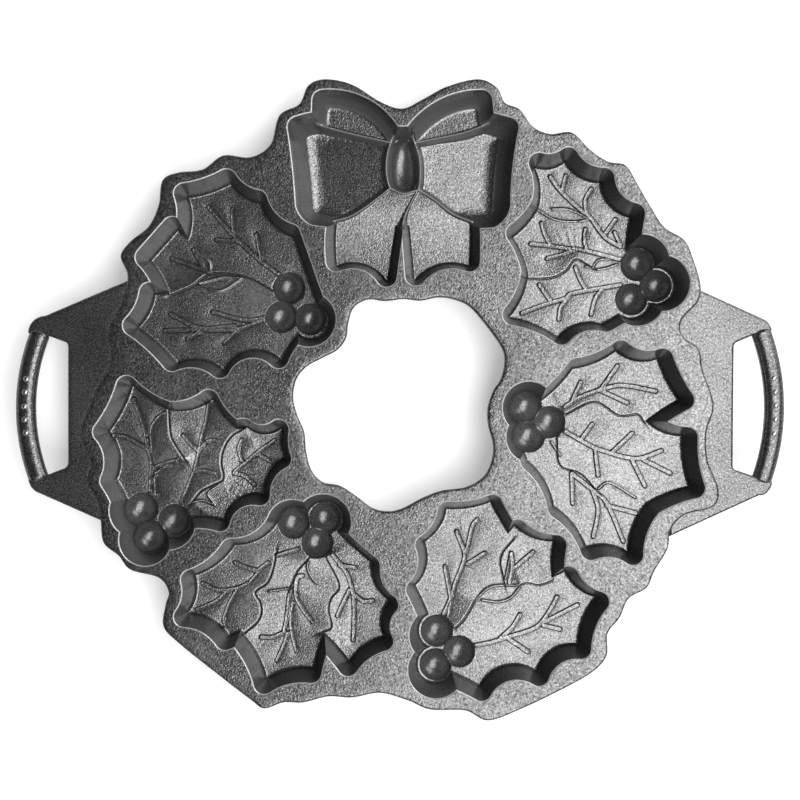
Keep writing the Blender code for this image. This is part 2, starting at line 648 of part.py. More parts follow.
def bracket(side, parts, tools):
    """A handle bracket: a plate a step lower than the deck, cut to the deck's edge."""
    name = "handle_bracket_" + side
    top = PAN_HEIGHT - BRACKET_STEP
    loop = traced(BRACKET_OUTLINES[side])[0]
    obj = plate(name, loop[needed([loop], [RIM_TOLERANCE])], top - BRACKET_THICKNESS, top, parts)
    cut = new_collection(name + "_edge", tools)
    outline = offset(smooth_line(DECK_OUTLINE), JOINT_GAP)
    plate(
        name + "_deck_edge", outline[needed([outline], [RIM_TOLERANCE / 2])],
        -CUT_PAST, PAN_HEIGHT + CUT_PAST, cut,
    )
    obj.data.materials.append(iron(name, HANDLE_IRON))
    return obj, [("DIFFERENCE", cut)]


def grip_line(side):
    """The middle line of a grip: an arc through its three points, run on a little into the bracket at each end."""
    first, middle, last = [np.array(point, float) for point in GRIP_LINES[side]]
    chord = last - first
    out = np.array([-chord[1], chord[0]]) / math.hypot(*chord)
    arc = bowed_edge(first, last, (middle - first) @ out)
    lead = (arc[0] - arc[1]) / math.hypot(*(arc[0] - arc[1]))
    trail = (arc[-1] - arc[-2]) / math.hypot(*(arc[-1] - arc[-2]))
    arc = arc[needed([arc], [RIM_TOLERANCE / 2])]
    return np.vstack([first + lead * GRIP_SEAT_RUN, arc, last + trail * GRIP_SEAT_RUN])


def grip(side, parts, tools):
    """A handle grip: a flattened round bar along an arc, cut off where it meets the bracket."""
    name = "handle_grip_" + side
    points = grip_line(side)
    curve = bpy.data.curves.new(name, "CURVE")
    curve.dimensions = "3D"
    curve.bevel_depth = GRIP_WIDTH / 2 * MM
    curve.bevel_resolution = GRIP_SIDES // 4
    curve.use_fill_caps = True
    spline = curve.splines.new("POLY")
    spline.points.add(len(points) - 1)
    for point, (x, y) in zip(spline.points, points):
        point.co = (x * MM, y * MM, 0, 1)
    guide = bpy.data.objects.new(name, curve)
    guide.location.z = (PAN_HEIGHT - GRIP_STEP - GRIP_THICKNESS / 2) * MM
    guide.scale.z = GRIP_THICKNESS / GRIP_WIDTH
    obj = meshed(guide, parts)
    cut = new_collection(name + "_seats", tools)
    outline = offset(traced(BRACKET_OUTLINES[side]), JOINT_GAP)
    plate(name + "_seat", outline[needed([outline], [RIM_TOLERANCE / 2])], -CUT_PAST, PAN_HEIGHT + CUT_PAST, cut)
    obj.data.materials.append(iron(name, HANDLE_IRON))
    return obj, [("DIFFERENCE", cut)]


def centre(frame, pieces):
    """Moves the frame so that the pan's outline is centred on the origin."""
    bpy.context.view_layer.update()
    spots = np.array([(piece.matrix_world @ vert.co)[:2] for piece in pieces for vert in piece.data.vertices])
    frame.location.xy = -(spots.min(0) + spots.max(0)) / 2


def main():
    clear_scene()
    parts = new_collection("wreath_pan")
    tools = new_collection("cutters")
    lines = {name: traced(rows) for name, rows in HOLLY_OUTLINES.items()}
    lines["bow_mould"] = traced(BOW_OUTLINE)
    made = [deck(lines, parts, tools), bow_mould(parts, tools)]
    made += [holly_mould(name, parts, tools) for name in HOLLY_OUTLINES]
    for side in BRACKET_OUTLINES:
        made += [bracket(side, parts, tools), grip(side, parts, tools)]
    frame = bpy.data.objects.new("wreath_pan_frame", None)
    parts.objects.link(frame)
    centre(frame, [piece for piece, _ in made if piece.name.startswith(("wreath", "handle_grip"))])
    for obj in list(parts.objects) + list(tools.all_objects):
        if obj is not frame:
            obj.parent = frame
    for piece, steps in made:
        piece.data.set_sharp_from_angle(angle=math.radians(35))
        for operation, group in steps:
            combine(piece, operation, group)


if __name__ == "__main__":
    main()
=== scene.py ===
"""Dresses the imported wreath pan: cast moulds, deck, handles, seasoned iron, and a plain pale studio.

Outlines are in millimetres from the middle of the pan, and a mould's is its outline at floor level. Meshes
are in metres. X runs through the two handles, Y up to the bow and Z up, with the cavities facing up.
"""

import itertools
import math

import bmesh
import bpy
import numpy as np
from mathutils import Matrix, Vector
from mathutils.geometry import delaunay_2d_cdt


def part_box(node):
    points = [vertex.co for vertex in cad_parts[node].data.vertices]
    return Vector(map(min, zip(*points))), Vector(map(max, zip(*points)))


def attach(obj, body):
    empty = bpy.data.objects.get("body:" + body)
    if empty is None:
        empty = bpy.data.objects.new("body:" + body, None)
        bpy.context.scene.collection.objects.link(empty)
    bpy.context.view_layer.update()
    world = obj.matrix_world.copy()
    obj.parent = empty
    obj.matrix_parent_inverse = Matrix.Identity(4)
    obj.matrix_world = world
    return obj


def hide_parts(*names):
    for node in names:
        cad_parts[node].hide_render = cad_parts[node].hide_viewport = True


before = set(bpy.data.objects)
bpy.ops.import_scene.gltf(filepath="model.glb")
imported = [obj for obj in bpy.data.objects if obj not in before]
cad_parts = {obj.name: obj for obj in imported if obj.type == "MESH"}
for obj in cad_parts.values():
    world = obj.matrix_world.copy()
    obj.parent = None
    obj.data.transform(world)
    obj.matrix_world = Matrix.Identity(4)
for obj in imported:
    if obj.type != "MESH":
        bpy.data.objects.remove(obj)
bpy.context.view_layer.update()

bl_info = {
    "name": "Wreath pan dresser",
    "version": (1, 0, 0),
    "blender": (4, 5, 0),
    "location": "3D View > Sidebar > Wreath pan",
    "description": "Builds the cast surfaces, the iron finish and the studio of a wreath pan",
    "category": "Object",
}

MM = 0.001
BODY = "root"

# Heights of the casting in millimetres, as its solids have them
TOP_Z = 30.0
DECK_UNDER_Z = 25.5
FLOOR_Z = 9.0
LOOP_FLOOR_Z = 15.5
TAIL_TOP_Z = 15.2
TAIL_FOOT_Z = 10.2
UNDER_Z = 5.5
BRACKET_TOP_Z = 28.8
BRACKET_UNDER_Z = 24.3
GRIP_MIDDLE_Z = 25.6
BERRY_MIDDLE_Z = 12.2
KNOT_MIDDLE_Z = 12.5

# Walls: the inner one starts a little outside the outline and leans out with the draft
TIP_RADIUS = 0.8
WALL_RUN = 4.3
WALL_LEAN = WALL_RUN / (TOP_Z - FLOOR_Z)
SIDE_WALL = 3.0
FOOT_FILLET = 4.4
LIP_RUB = 0.9
LIP_ROWS = 8
LIP_DRAWN = 1
FOOT_ROWS = np.linspace(0, 1.2, 9)
WALL_ROWS_START = 1.4
WALL_ROWS = 14
WALL_DRAWN_START = 1.0
UNDER_JOIN = 0.25
UNDER_JOIN_DEPTH = 0.6

# Pits for the berries and the knot, and the bosses that hang under them
BERRY_RADIUS = 8.75
BOSS_RADIUS = 12.6
KNOT_MIDDLE = (1.5, 118.2)
KNOT_HALF = (8.0, 14.2, 8.0)
KNOT_BOSS_HALF = (13.0, 19.2, 13.0)
PIT_FILLET = 0.5
PIT_BLEND = (-0.2, 0.6)
PIT_SMOOTHNESS = 0.45
BOSS_FILLET = 1.6
TABLE_FILLET = 0.25

# Grips: half sizes, how far they run into the bracket, their rounded ends and the power of their section
GRIP_HALF = (5.0, 4.2)
GRIP_SEAT_RUN = 3.0
GRIP_NOSE = 3.2
GRIP_TIP = 1e-4
GRIP_POWER = 2.4

# Beads: where their row starts and ends along a grip, how far round their dome goes, how high it is for
# its radius, and how deep its foot is sunk
BEAD_RUN = (0.33, 0.67)
BEAD_TOP = 0.02
BEAD_TURN = math.radians(78)
BEAD_LIFT = 0.62
BEAD_SINK = 0.25
BEAD_SKIRT = 0.4
BEAD_RUB = 0.4

# The step along a leaf's edge: half its width, how its raised side sinks away, and its fade past its end
EDGE_HALF = 0.32
EDGE_SINK = 9.0
EDGE_REACH = (28.0, 8.0)
EDGE_END_FADE = 2.5
GROOVE_DEPTH = 0.3
GROOVE_END_FADE = 1.5

# Bells across a line, as their middle and their width, and ramps, as the places where they are 0 and 1
GROOVE_BELL = (-0.5, 0.34)
EDGE_TOP_BELL = (0.45, 0.4)
# The next two bells place painted shade at the foot of a crease and at the foot of a vein
CREASE_SHADE_BELL = (0.95, 0.35)
VEIN_SHADE_BELL = (1.42, 0.24)
CREASE_SIDE = (0.75, 0.15)
CREASE_TOP = (0.6, 0.2)
VEIN_SIDE = (1.3, 0.85)
# The ramp that keeps the painted shade beside a vein off the vein's crest
VEIN_SHADE_START = (0.9, 1.2)
DISH_DEPTH = 0.35
DISH_FADE = 3.5

# How much of each mark the forms have
FLOOR_RUB = 0.07
EDGE_RUB = 0.2
CREASE_RUB = 0.25
RIDGE_RUB = 0.5
# How strong the painted shade is at the foot of a crease and at the foot of a vein
CREASE_SHADE_SHARE = 0.7
VEIN_SHADE_SHARE = 0.9

# The bow's floor: a sweep is its foot's gap from the wall and its rise, and a ramp is as above
BOW_CORNER = 4.0
BOW_GAPS = (-5, 30)
SWEEP_START = 3.0
SWEEP_POWER = 1.5
LOBE_RISE = 2.6
LOBE_REACH = 44
LOBE_DISH = 1.6
LOBE_DISH_REACH = 9
LOBE_SWEEP = (3.0, 8.6)
LOBE_DRAWN = (2.6, 1.6)
LOOP_SWEEP = (2.6, 6.4)
LOOP_DRAWN = (2.2, 1.3)
TAIL_FOOT_Y = 64
TAIL_SLOPE = 0.02
TAIL_CURVE = 0.0036
TAIL_FILLET = 1.5
RIDGE_SLOPE = 3.6
RIDGE_ROUND = 0.5
RIDGE_FILLET = 0.7
RIDGE_TOP = (0.55, 0.15)
RIDGE_DRAWN = (0, 0.8)

# How finely the surfaces are sampled
EDGE_STEP = 0.5
ROUND_STEP = EDGE_STEP * 1.6
LINE_STEP = 0.7
RIDGE_STEP = 0.8
ROW_LINE_STEP = 0.9
ROW_STEP = 0.45
ROW_MARGIN = 0.25
PIT_MARGIN = 0.2
END_GAP = 0.1
LEAST_GAP = 0.16
LEAST_EDGE = 0.05
FAN_STEP = math.radians(9)
TRIM_SLACK = 0.02
NOTCH_REACH = 4 * EDGE_STEP
OPEN_GRID = 0.85
FINE_GRID = 0.36
UNDER_GRID = 1.6
UNDER_THINNING = 0.3
UNDER_GAP = 0.4
DECK_GRID = (3.0, 1.2)
BRACKET_GRID = (2.0, 0.7)
SHARP_ANGLE = math.radians(60)

# The rows of points beside each kind of line, as distances from it, and how far they replace the grid
RIDGE_ROWS = (-2.2, -1.8, -1.4, -1.05, -0.7, -0.4, -0.2, 0, 0.2, 0.4, 0.7, 1.05, 1.4, 1.8, 2.2)
VEIN_ROWS = (-1.85, -1.55, -1.33, -1.16, -1.0, -0.82, -0.45, 0, 0.45, 0.82, 1.0, 1.16, 1.33, 1.55, 1.85)
CREASE_ROWS = (-1.2, -0.75, -0.4, 0, 0.4, 0.75, 1.2)
EDGE_ROWS = (-1.4, -1.0, -0.7, -0.4, -0.2, 0, 0.2, 0.45, 0.8)
LINE_ROWS = {"veins": (VEIN_ROWS, 2.0), "creases": (CREASE_ROWS, 1.3), "edges": (EDGE_ROWS, 1.3)}
RIDGE_ROWS_REACH = 2.4
BERRY_RINGS = np.concatenate([np.linspace(0.05, 0.85, 12), np.linspace(0.88, 0.97, 6)])
KNOT_RINGS = np.linspace(0.04, 0.8, 24)
BOSS_RINGS = np.linspace(0.05, 1.12, 22)
BOSS_CLEARANCE = 1.18

# How many points go round each ring, section or dome
BERRY_SIDES = 64
KNOT_SIDES = 72
BOSS_SIDES = 56
GRIP_SIDES = 48
BEAD_SIDES = 28

# How far from a line its form is worked out
EDGE_LIMIT = 28
CREASE_LIMIT = 3
VEIN_LIMIT = 14
RIDGE_LIMIT = 4

# Numbers too small or too large to matter, and how much is worked out at once
SAME_PLACE = 0.001
SAME_SPOT = 1e-5
PARALLEL = 1e-9
TINY = 1e-12
WELD = 0.000003
FAR = 1000.0
BLOCK = 1_500_000

# The iron's skin: how many waves, clouds and specks to the metre, how high the grain stands, the band that
# most of a noise lies in, how much each part counts, and how far marks smooth, darken or polish the skin
GRAIN = "Sand-cast grain"
SEASONING = "Seasoning"
WAVE_SCALE = 55.0
CLOUD_SCALE = 22.0
SPECK_SCALE = 1250.0
POOL_SCALE = 34.0
GRAIN_HEIGHT = 0.0001
COARSE_SHARE = 0.26
NOISE_BAND = (0.3, 0.7)
CLOUD_BLEND = (0.12, 0.42)
SPECK_BLEND = (0.0, 0.8)
POOL_BLEND = (0.1, 0.5)
DRAWN_SMOOTHS = 0.85
WORN_SMOOTHS = 0.7
LEAST_GRAIN = 0.1
PITS_DARKEN = 0.5
# How far the painted shade pulls the colour towards black
CREASE_SHADE_DARKENS = 0.8
SPECK_ROUGHENS = 0.3
CREASE_SHADE_ROUGHENS = 0.6
WORN_POLISHES = 0.6
# The near-black that the painted shade mixes into the colour
SHADE_BLACK = (0.006, 0.006, 0.006, 1)
WHITE = (1, 1, 1, 1)
SOCKETS = {1: "NodeSocketFloat", 3: "NodeSocketVector", 4: "NodeSocketColor"}

# The studio in metres. A lamp is its size, its place and what it is aimed at, and the ceiling's band is
# how high the bright horizon starts and ends to dim.
FLOOR_REACH = 4.0
FLOOR_DROP = 0.0002
SOFTBOX = ((2.6, 1.3), (0.57, -0.45, 1.8), (-0.02, -0.26, 0))
SIDE_LIGHT = ((1.2, 0.8), (1.15, 0.85, 0.85), (0, 0, 0))
CEILING_BAND = (0.15, 0.55)
PAPER_ROUGHNESS = 0.9
SENSOR_WIDTH = 36.0
CAMERA_STEP = 0.0001
CLIP_START = 0.01

# What every point of the casting is marked with, from 0 to 1: how far its edge is rubbed, how much
# painted shade it carries in a groove or at the foot of a vein or crease, and how smoothly the sand let
# go of the pattern there
MARKS = ("worn", "crease_shade", "drawn")

# Each outline runs clockwise at floor level. A row is a corner and the edge to the next one: a number
# bows the edge in (negative) or out, and a pair is the middle of the berry that the edge goes round.
HOLLY_OUTLINES = {
    "upper_left": [
        (-52, 34, -0.8), (-60.8, 20.5, -7.6), (-90.2, 15.5, -3.5), (-114, 19, -1), (-133.5, 36.8, -1.5),
        (-125.2, 53.2, -0.3), (-117.5, 54.2, -1.2), (-127.2, 70.8, 0), (-113.8, 86, 0),
        (-108.5, 81.2, -2), (-108, 102.8, -1), (-86.8, 109.8, -2), (-71.5, 99.5, -3), (-55, 82.5, 0),
        (-42.8, 47.8, (-45.8, 39.8)),
    ],
    "left": [
        (-139, -51.8, -0.3), (-144.8, -41, -3.7), (-148.5, -16.5, -1.2), (-136.8, 6.5, -1.5),
        (-116, -6.5, -2), (-95.8, -0.5, -1.2), (-83.5, -15.5, 0), (-78.2, -15, -3), (-60.8, -15.5, -1),
        (-59.5, -29.8, -3.2), (-70.2, -48.2, -5), (-90.2, -61.2, -1.2), (-107.8, -60.2, (-115.8, -62)),
        (-119.8, -69.2, (-127.5, -70.5)), (-132, -64, (-132.2, -56)),
    ],
    "lower_left": [
        (-32.5, -67.8, -0.5), (-15.2, -83.5, -3), (-6, -103, -3), (-8.5, -121, -2), (-26, -133.5, -0.5),
        (-39, -118.8, -0.5), (-44.5, -137, -2.2), (-68, -142.5, -1.8), (-81.5, -118, 0),
        (-87.5, -120.5, -2.8), (-108, -109, -2.2), (-104.5, -90.5, -2.2), (-84.5, -75, -4),
        (-61.2, -61, (-54.5, -63.5)), (-47.2, -59, (-38.2, -61.8)),
    ],
    "lower_right": [
        (15, -110.5, -0.3), (8.2, -95.5, -3.5), (12.8, -73.2, -2.2), (24, -56.5, -1.3), (46.2, -53, -0.3),
        (55.5, -69.2, 0), (58.5, -65.5, -2), (78.2, -73.2, -0.8), (77.5, -92, 0), (84.2, -88.8, -2.2),
        (99.5, -101.5, -2.2), (90.5, -125, -4.5), (69.5, -138.5, -6.5), (40.8, -146, -0.3),
        (26.2, -139, (18, -135.8)), (17, -127, (18.5, -118.5)),
    ],
    "right": [
        (72, -1.5, -1), (88.5, 15.2, -1.5), (110.5, 24.2, -3), (131.5, 20.2, -0.8), (142, -0.5, -0.5),
        (125.2, -11.2, -2), (143.8, -19.2, -1.3), (147.5, -44.5, -1), (126, -53, -2.5),
        (116.5, -78, -2.8), (95.5, -75.5, -2.3), (79, -54.5, -2.5), (65.5, -31, 0),
        (64, -26.5, (66, -19)), (62.5, -12.2, (64.5, -4.5)),
    ],
    "upper_right": [
        (112.5, 44, 0), (103, 38.8, -3.5), (80.8, 32.2, -1.5), (56.5, 42.2, -1.8), (66, 64.2, -1),
        (58.2, 82.8, -1), (70.8, 97, -2), (69.5, 118, -1.8), (84.2, 120.8, -2.8), (102.2, 110.5, -4),
        (117.5, 92.8, -0.5), (115.5, 75, (121.2, 68.8)), (129.5, 66.8, (131, 58)),
        (127.5, 49.8, (118.5, 50.8)),
    ],
}

# The middles of each sprig's three berries
HOLLY_BERRIES = {
    "upper_left": [(-56.8, 56.8), (-60.8, 42), (-46, 41)],
    "left": [(-132.2, -56), (-127.5, -70.5), (-115.8, -62)],
    "lower_left": [(-54.5, -63.5), (-38.5, -61.2), (-42.5, -73.5)],
    "lower_right": [(18.8, -118.8), (30.2, -129.4), (18.2, -136)],
    "right": [(64.5, -4.2), (66, -19.2), (76.5, -11.8)],
    "upper_right": [(121.2, 68.8), (131, 58), (118.5, 51.2)],
}

# The lines cast on each sprig's floor: raised leaf veins, fine creases, and the stepped edges between
# leaves, whose higher leaf is on the left of the line
LEAF_LINES = {
    "upper_left": {
        "veins": [
            [(-60, 62.5), (-71, 70.5), (-84.5, 83), (-98, 98.5)], [(-85.5, 85.5), (-86, 97)],
            [(-83.5, 81), (-94, 81.5)], [(-71, 70.5), (-73.5, 84.5)], [(-97.5, 65), (-117, 72)],
            [(-100, 66), (-105.5, 76.5)], [(-67.5, 41), (-84.5, 35.5), (-102.5, 35.5), (-120.5, 35)],
            [(-96, 44.5), (-79.5, 40.5), (-69.5, 41.5)], [(-117.5, 43.5), (-102.5, 36.5), (-84.5, 37.5)],
            [(-102.5, 34.5), (-109, 30.5)], [(-82, 36.5), (-90, 28.5)],
        ],
        "creases": [
            [(-106, 76.5), (-98, 70.5), (-97.5, 64.5)], [(-103, 59.5), (-90, 62.5), (-81, 62)],
            [(-103, 59), (-92.5, 55.5), (-81, 62)],
        ],
        "edges": [[(-118, 53.5), (-106.5, 58.5), (-100, 63.5), (-91.5, 65), (-78, 62.5), (-64, 55)]],
    },
    "left": {
        "veins": [
            [(-136.5, 0), (-134, -6.5), (-131, -15.5), (-129.5, -24), (-127.5, -32.5), (-128, -47)],
            [(-146.5, -18.5), (-139.5, -20), (-134, -23), (-129.5, -25.5)],
            [(-121, -7.5), (-125.5, -11.5), (-127.5, -17), (-127, -26.5)],
            [(-126, -35.5), (-122, -33.5), (-115, -31.5)],
            [(-118.5, -34), (-124, -37.5), (-125.5, -41), (-125, -49)],
            [
                (-98, -3), (-99.5, -12), (-101.5, -19), (-103, -26.5), (-105, -35.5), (-109, -46),
                (-112, -53),
            ],
            [(-111, -18.5), (-107, -23), (-103.5, -26.5)], [(-93, -21.5), (-98, -21.5), (-102.5, -25.5)],
            [(-95, -38), (-100, -37), (-104.5, -37)],
            [(-64.5, -21.5), (-72.5, -27), (-76.5, -30.5), (-85, -37.5)],
            [(-81, -21), (-82.5, -25.5), (-81, -31.5)], [(-72.5, -28.5), (-67, -31.5)],
            [(-85, -38), (-79.5, -39.5), (-74.5, -44)],
        ],
        "creases": [
            [(-93.5, -44.5), (-98.5, -48.5), (-94.5, -54.5)],
            [(-106.5, -53), (-102, -52), (-98, -53), (-94.5, -54.5)],
        ],
        "edges": [
            [(-118.5, -6), (-117.5, -18), (-115, -23.5), (-110.5, -30.5)],
            [
                (-79.5, -15), (-86, -19), (-90, -25), (-91.5, -32.5), (-90.5, -41), (-96.5, -44.5),
                (-102, -47.5), (-106.5, -53),
            ],
        ],
    },
    "lower_left": {
        "veins": [
            [(-35.5, -78.5), (-27.5, -89), (-24.5, -98), (-23.5, -108), (-24, -123.5)],
            [(-31, -85), (-23, -86.5)], [(-23, -100.5), (-19, -103.5), (-14, -103.5)],
            [(-26, -98), (-28.5, -103), (-32, -111)],
            [(-50, -90.5), (-52.5, -91.5), (-53.5, -98), (-52.5, -103), (-48.5, -109.5), (-45, -114)],
            [(-55, -104.5), (-56, -112), (-55.5, -119.5), (-53, -129)],
            [(-57.5, -120), (-59.5, -126), (-63, -134)],
            [(-56, -97), (-57, -103), (-58, -112), (-59.5, -119.5)],
            [(-59.5, -119.5), (-65, -122), (-71, -122)], [(-52, -77), (-59, -79), (-63, -80)],
            [(-72.5, -88.5), (-76, -93), (-82, -96.5), (-92.5, -98), (-101, -94.5)],
            [(-84.5, -84), (-78.5, -86.5), (-73, -88)], [(-67.5, -84), (-73, -88)],
            [(-88, -98), (-94, -103.5), (-104, -108)],
            [(-83, -97), (-87, -104), (-90, -112), (-89.5, -116)],
        ],
        "creases": [
            [(-47, -83.5), (-47.5, -86.5), (-45, -92), (-42.5, -94.5)], [(-67.5, -98.5), (-56.5, -97)],
        ],
        "edges": [
            [(-38, -81), (-31, -95.5), (-35, -102), (-36.5, -108), (-35, -117), (-39.5, -119.5)],
            [(-46.5, -81.5), (-52.5, -88.5), (-56, -96.5)],
            [
                (-63.5, -80.5), (-65, -87.5), (-68, -94.5), (-74, -99), (-71.5, -104.5), (-71, -110),
                (-73.5, -115), (-79.5, -120),
            ],
        ],
    },
    "lower_right": {
        "veins": [
            [(21.5, -112), (25.5, -103), (25.5, -99), (23, -86)],
            [(24.5, -112), (28, -95.5), (31.5, -86.5), (33, -79), (29, -68)],
            [(33, -79), (34.5, -76), (37, -65.5), (39.5, -62)], [(34.5, -84.5), (43.5, -79)],
            [(57, -79), (57.5, -86.5), (56, -94)], [(68, -78.5), (57.5, -87.5)],
            [
                (38, -126.5), (47.5, -124.5), (55, -122), (66.5, -118.5), (72, -115), (77, -108),
                (80.5, -101.5),
            ],
            [(51.5, -122.5), (57.5, -117), (61.5, -110.5)], [(74.5, -114), (91, -105.5)],
            [(73.5, -116), (82, -118)], [(55, -122.5), (65.5, -129.5)],
        ],
        "creases": [
            [(39, -102.5), (45, -97), (51.5, -95.5), (61.5, -95.5)],
            [(42, -103), (50, -104), (56.5, -102), (61.5, -96.5)],
            [(56.5, -78.5), (55.5, -85), (54, -92)],
        ],
        "edges": [
            [(28, -117), (32.5, -112.5), (37.5, -104)], [(61.5, -95), (65, -94), (71, -95), (77.5, -93)],
            [(57, -73.5), (53, -78.5), (51.5, -83.5), (52.5, -89), (53.5, -94)],
        ],
    },
    "right": {
        "veins": [
            [(84.5, -4), (93.5, 1.5), (109, 6.5), (118, 6.5), (131, 4)], [(88, -1.5), (92.5, 8.5)],
            [(102.5, 4.5), (111.5, 17)], [(102.5, 4.5), (116.5, -2)],
            [(84.5, -16.5), (95, -22.5), (102.5, -26), (120.5, -30.5), (134, -26.5)],
            [(92.5, -21), (98.5, -13)], [(109, -27), (119, -17.5)], [(100, -26), (101.5, -39)],
            [(119, -31.5), (125.5, -44.5)], [(124.5, -31), (138.5, -38)],
            [(88, -38), (98.5, -46.5), (106, -53.5), (114.5, -73)], [(88, -38), (88.5, -53.5)],
            [(98.5, -46.5), (101.5, -57), (99, -70.5)], [(106, -54.5), (121, -58.5)],
        ],
        "creases": [[(101.5, -46), (107.5, -43), (120.5, -50.5)], [(77.5, -22), (82, -29)]],
        "edges": [
            [(84.5, -7.5), (99.5, -1), (112, -8), (121.5, -7.5), (125, -11.5)],
            [(80.5, -20), (82, -33.5), (92.5, -38), (100.5, -46.5)],
        ],
    },
    "upper_right": {
        "veins": [
            [(113, 78), (105, 83), (97.5, 93), (92.5, 97), (87, 102), (82, 107), (77, 114)],
            [(83, 106.5), (85, 114.5)], [(95.5, 95.5), (95, 102), (98, 107.5)],
            [(105, 84.5), (110.5, 92)], [(113, 79), (110, 85.5)],
            [(67, 79.5), (77, 78.5), (87, 77), (95, 76), (113, 71.5)], [(72.5, 90), (74.5, 84), (77, 79)],
            [(95, 87), (94.5, 81.5), (95.5, 77)], [(75.5, 72), (83, 74), (90, 76.5)],
            [(62.5, 44), (74.5, 48.5), (84.5, 51.5), (88, 54), (101, 56.5), (113, 58.5)],
            [(71.5, 58.5), (77, 50.5)], [(90, 67.5), (92.5, 61), (95.5, 56)],
            [(81.5, 41), (82.5, 47), (87, 53)], [(98, 43.5), (100, 51), (103.5, 56.5)],
        ],
        "creases": [
            [(70.5, 97), (79.5, 92), (90, 91), (98.5, 92.5)], [(78, 97.5), (87, 97), (97.5, 92)],
            [(98.5, 67.5), (102.5, 71.5), (111.5, 71.5)], [(95, 68), (102.5, 66.5), (111.5, 69)],
        ],
        "edges": [[(65, 62), (77, 62.5), (84.5, 66), (90, 72), (97.5, 68)]],
    },
}

BOW_OUTLINE = [
    (-4, 131.2, 0), (6.5, 131.2, 5), (41, 149.5, 0), (42.2, 139, 0), (54.2, 135.8, -1), (50, 97, 0.8),
    (45.5, 90.8, 0), (34.5, 90.2, 0.3), (34.8, 68.8, -4.5), (7.8, 61.8, 0), (5.6, 89.5, 0), (-3, 89.5, 0),
    (-6.8, 61.2, -4.8), (-31.8, 68.8, 0.8), (-31, 90.5, 0), (-42.5, 92, 0.8), (-47, 97.5, -0.5),
    (-51.2, 136.2, 0.3), (-39.2, 139, 0), (-38.8, 149.5, 6),
]

# The bow's ridges between its loops, lobes, tails and knot, as places and the crest's height at each
BOW_RIDGES = [
    [(-42.5, 139.8, 17.6), (-34, 137.2, 17), (-21.3, 134.1, 16.6), (-4.6, 130.4, 16.6)],
    [(45, 140, 17.6), (33, 135.6, 17), (21.3, 133, 16.6), (8, 130.4, 16.6)],
    [(-5.1, 107.2, 16.2), (-16.3, 98.6, 15.9), (-25.4, 93, 15.3), (-34, 90.6, 15)],
    [(9.3, 106.4, 16.2), (17.8, 101.1, 15.9), (26.4, 94.5, 15.3), (37, 90.2, 15)],
    [
        (-3.4, 133.6, 17), (-6.1, 126.5, 16.4), (-7.1, 118.9, 16.2), (-6.6, 112.3, 16.2),
        (-5.1, 107.2, 16.2),
    ],
    [(6.3, 133.6, 17), (9.5, 124, 16.4), (10.2, 117.4, 16.2), (10, 110.5, 16.2), (9.3, 106.4, 16.2)],
    [(-5.1, 107.2, 16.2), (1.5, 104.6, 16), (9.3, 106.4, 16.2)],
    [(8.6, 105.4, 16.1), (4.6, 98, 15.9), (2.2, 92.5, 16.8), (1.3, 88, 19.5)],
]

# The parts of the bow's floor that stand above its lobes, each inside its ridges
BOW_LOOPS = [
    [
        (-48, 141.5), (-42.5, 139.8), (-34, 137.2), (-21.3, 134.1), (-4.6, 130.4), (-3.4, 140),
        (-10, 158), (-48, 160),
    ],
    [(50, 141.5), (45, 140), (33, 135.6), (21.3, 133), (8, 130.4), (6.3, 140), (12, 158), (50, 160)],
]
BOW_TAILS = [
    (-31, 90.5), (-25.4, 93), (-16.3, 98.6), (-5.1, 107.2), (1.5, 104.6), (9.3, 106.4), (17.8, 101.1),
    (26.4, 94.5), (34.5, 90.2), (41, 84), (41, 54), (-38, 54), (-38, 84),
]
BOW_KNOT = [
    (-3.4, 133.6), (-6.1, 126.5), (-7.1, 118.9), (-6.6, 112.3), (-5.1, 107.2), (1.5, 104.6), (9.3, 106.4),
    (10, 110.5), (10.2, 117.4), (9.5, 124), (6.3, 133.6), (6.3, 142), (-3.4, 142),
]

# Smooth closed curves through these points, clockwise
DECK_OUTLINE = [
    (1, 145.5), (12, 150.5), (23.5, 156.5), (39, 160.2), (48.5, 156), (52.5, 148.5), (60, 145),
    (66.5, 136.5), (75, 132.8), (86, 133.5), (95, 125), (104, 119), (113, 117), (119, 107.5), (126, 95.5),
    (132.5, 86), (142.5, 79.5), (147, 69.5), (150.5, 57), (149, 48.5), (141, 39.5), (141.5, 31.5),
    (149.5, 25), (151.5, 14.5), (157, -3), (153.5, -16.5), (154, -30.5), (159.5, -45.5), (156.5, -54),
    (142.5, -58), (135.5, -65.5), (134, -75), (127.5, -86), (123.5, -94.5), (114.5, -100), (110, -109.5),
    (104, -117.5), (103.5, -128.5), (96, -137), (80, -146), (60, -155.5), (44, -161), (32.5, -156),
    (15, -155.5), (4, -151), (-10, -147.2), (-24, -149.5), (-36, -149), (-48.5, -152), (-58.5, -152),
    (-68, -155), (-75, -150.5), (-92.5, -137), (-110, -123), (-118.5, -114), (-117.5, -103),
    (-116, -96.5), (-121, -89.5), (-135, -85.5), (-141, -78.5), (-148.5, -72), (-150, -61),
    (-151.5, -51.5), (-156.5, -41.5), (-155, -31.5), (-160, -18), (-156, -4.5), (-151, 7), (-145, 18.5),
    (-146, 34.5), (-139.5, 48.5), (-136.5, 61.5), (-140, 71.5), (-135, 79), (-126, 86.5), (-121, 97),
    (-119, 109.5), (-111, 113.5), (-99, 115), (-88.5, 122), (-75, 121.2), (-65, 127.5), (-60.5, 142),
    (-50.5, 147.8), (-46, 157), (-37.5, 160.2), (-24, 157.5), (-10, 149),
]
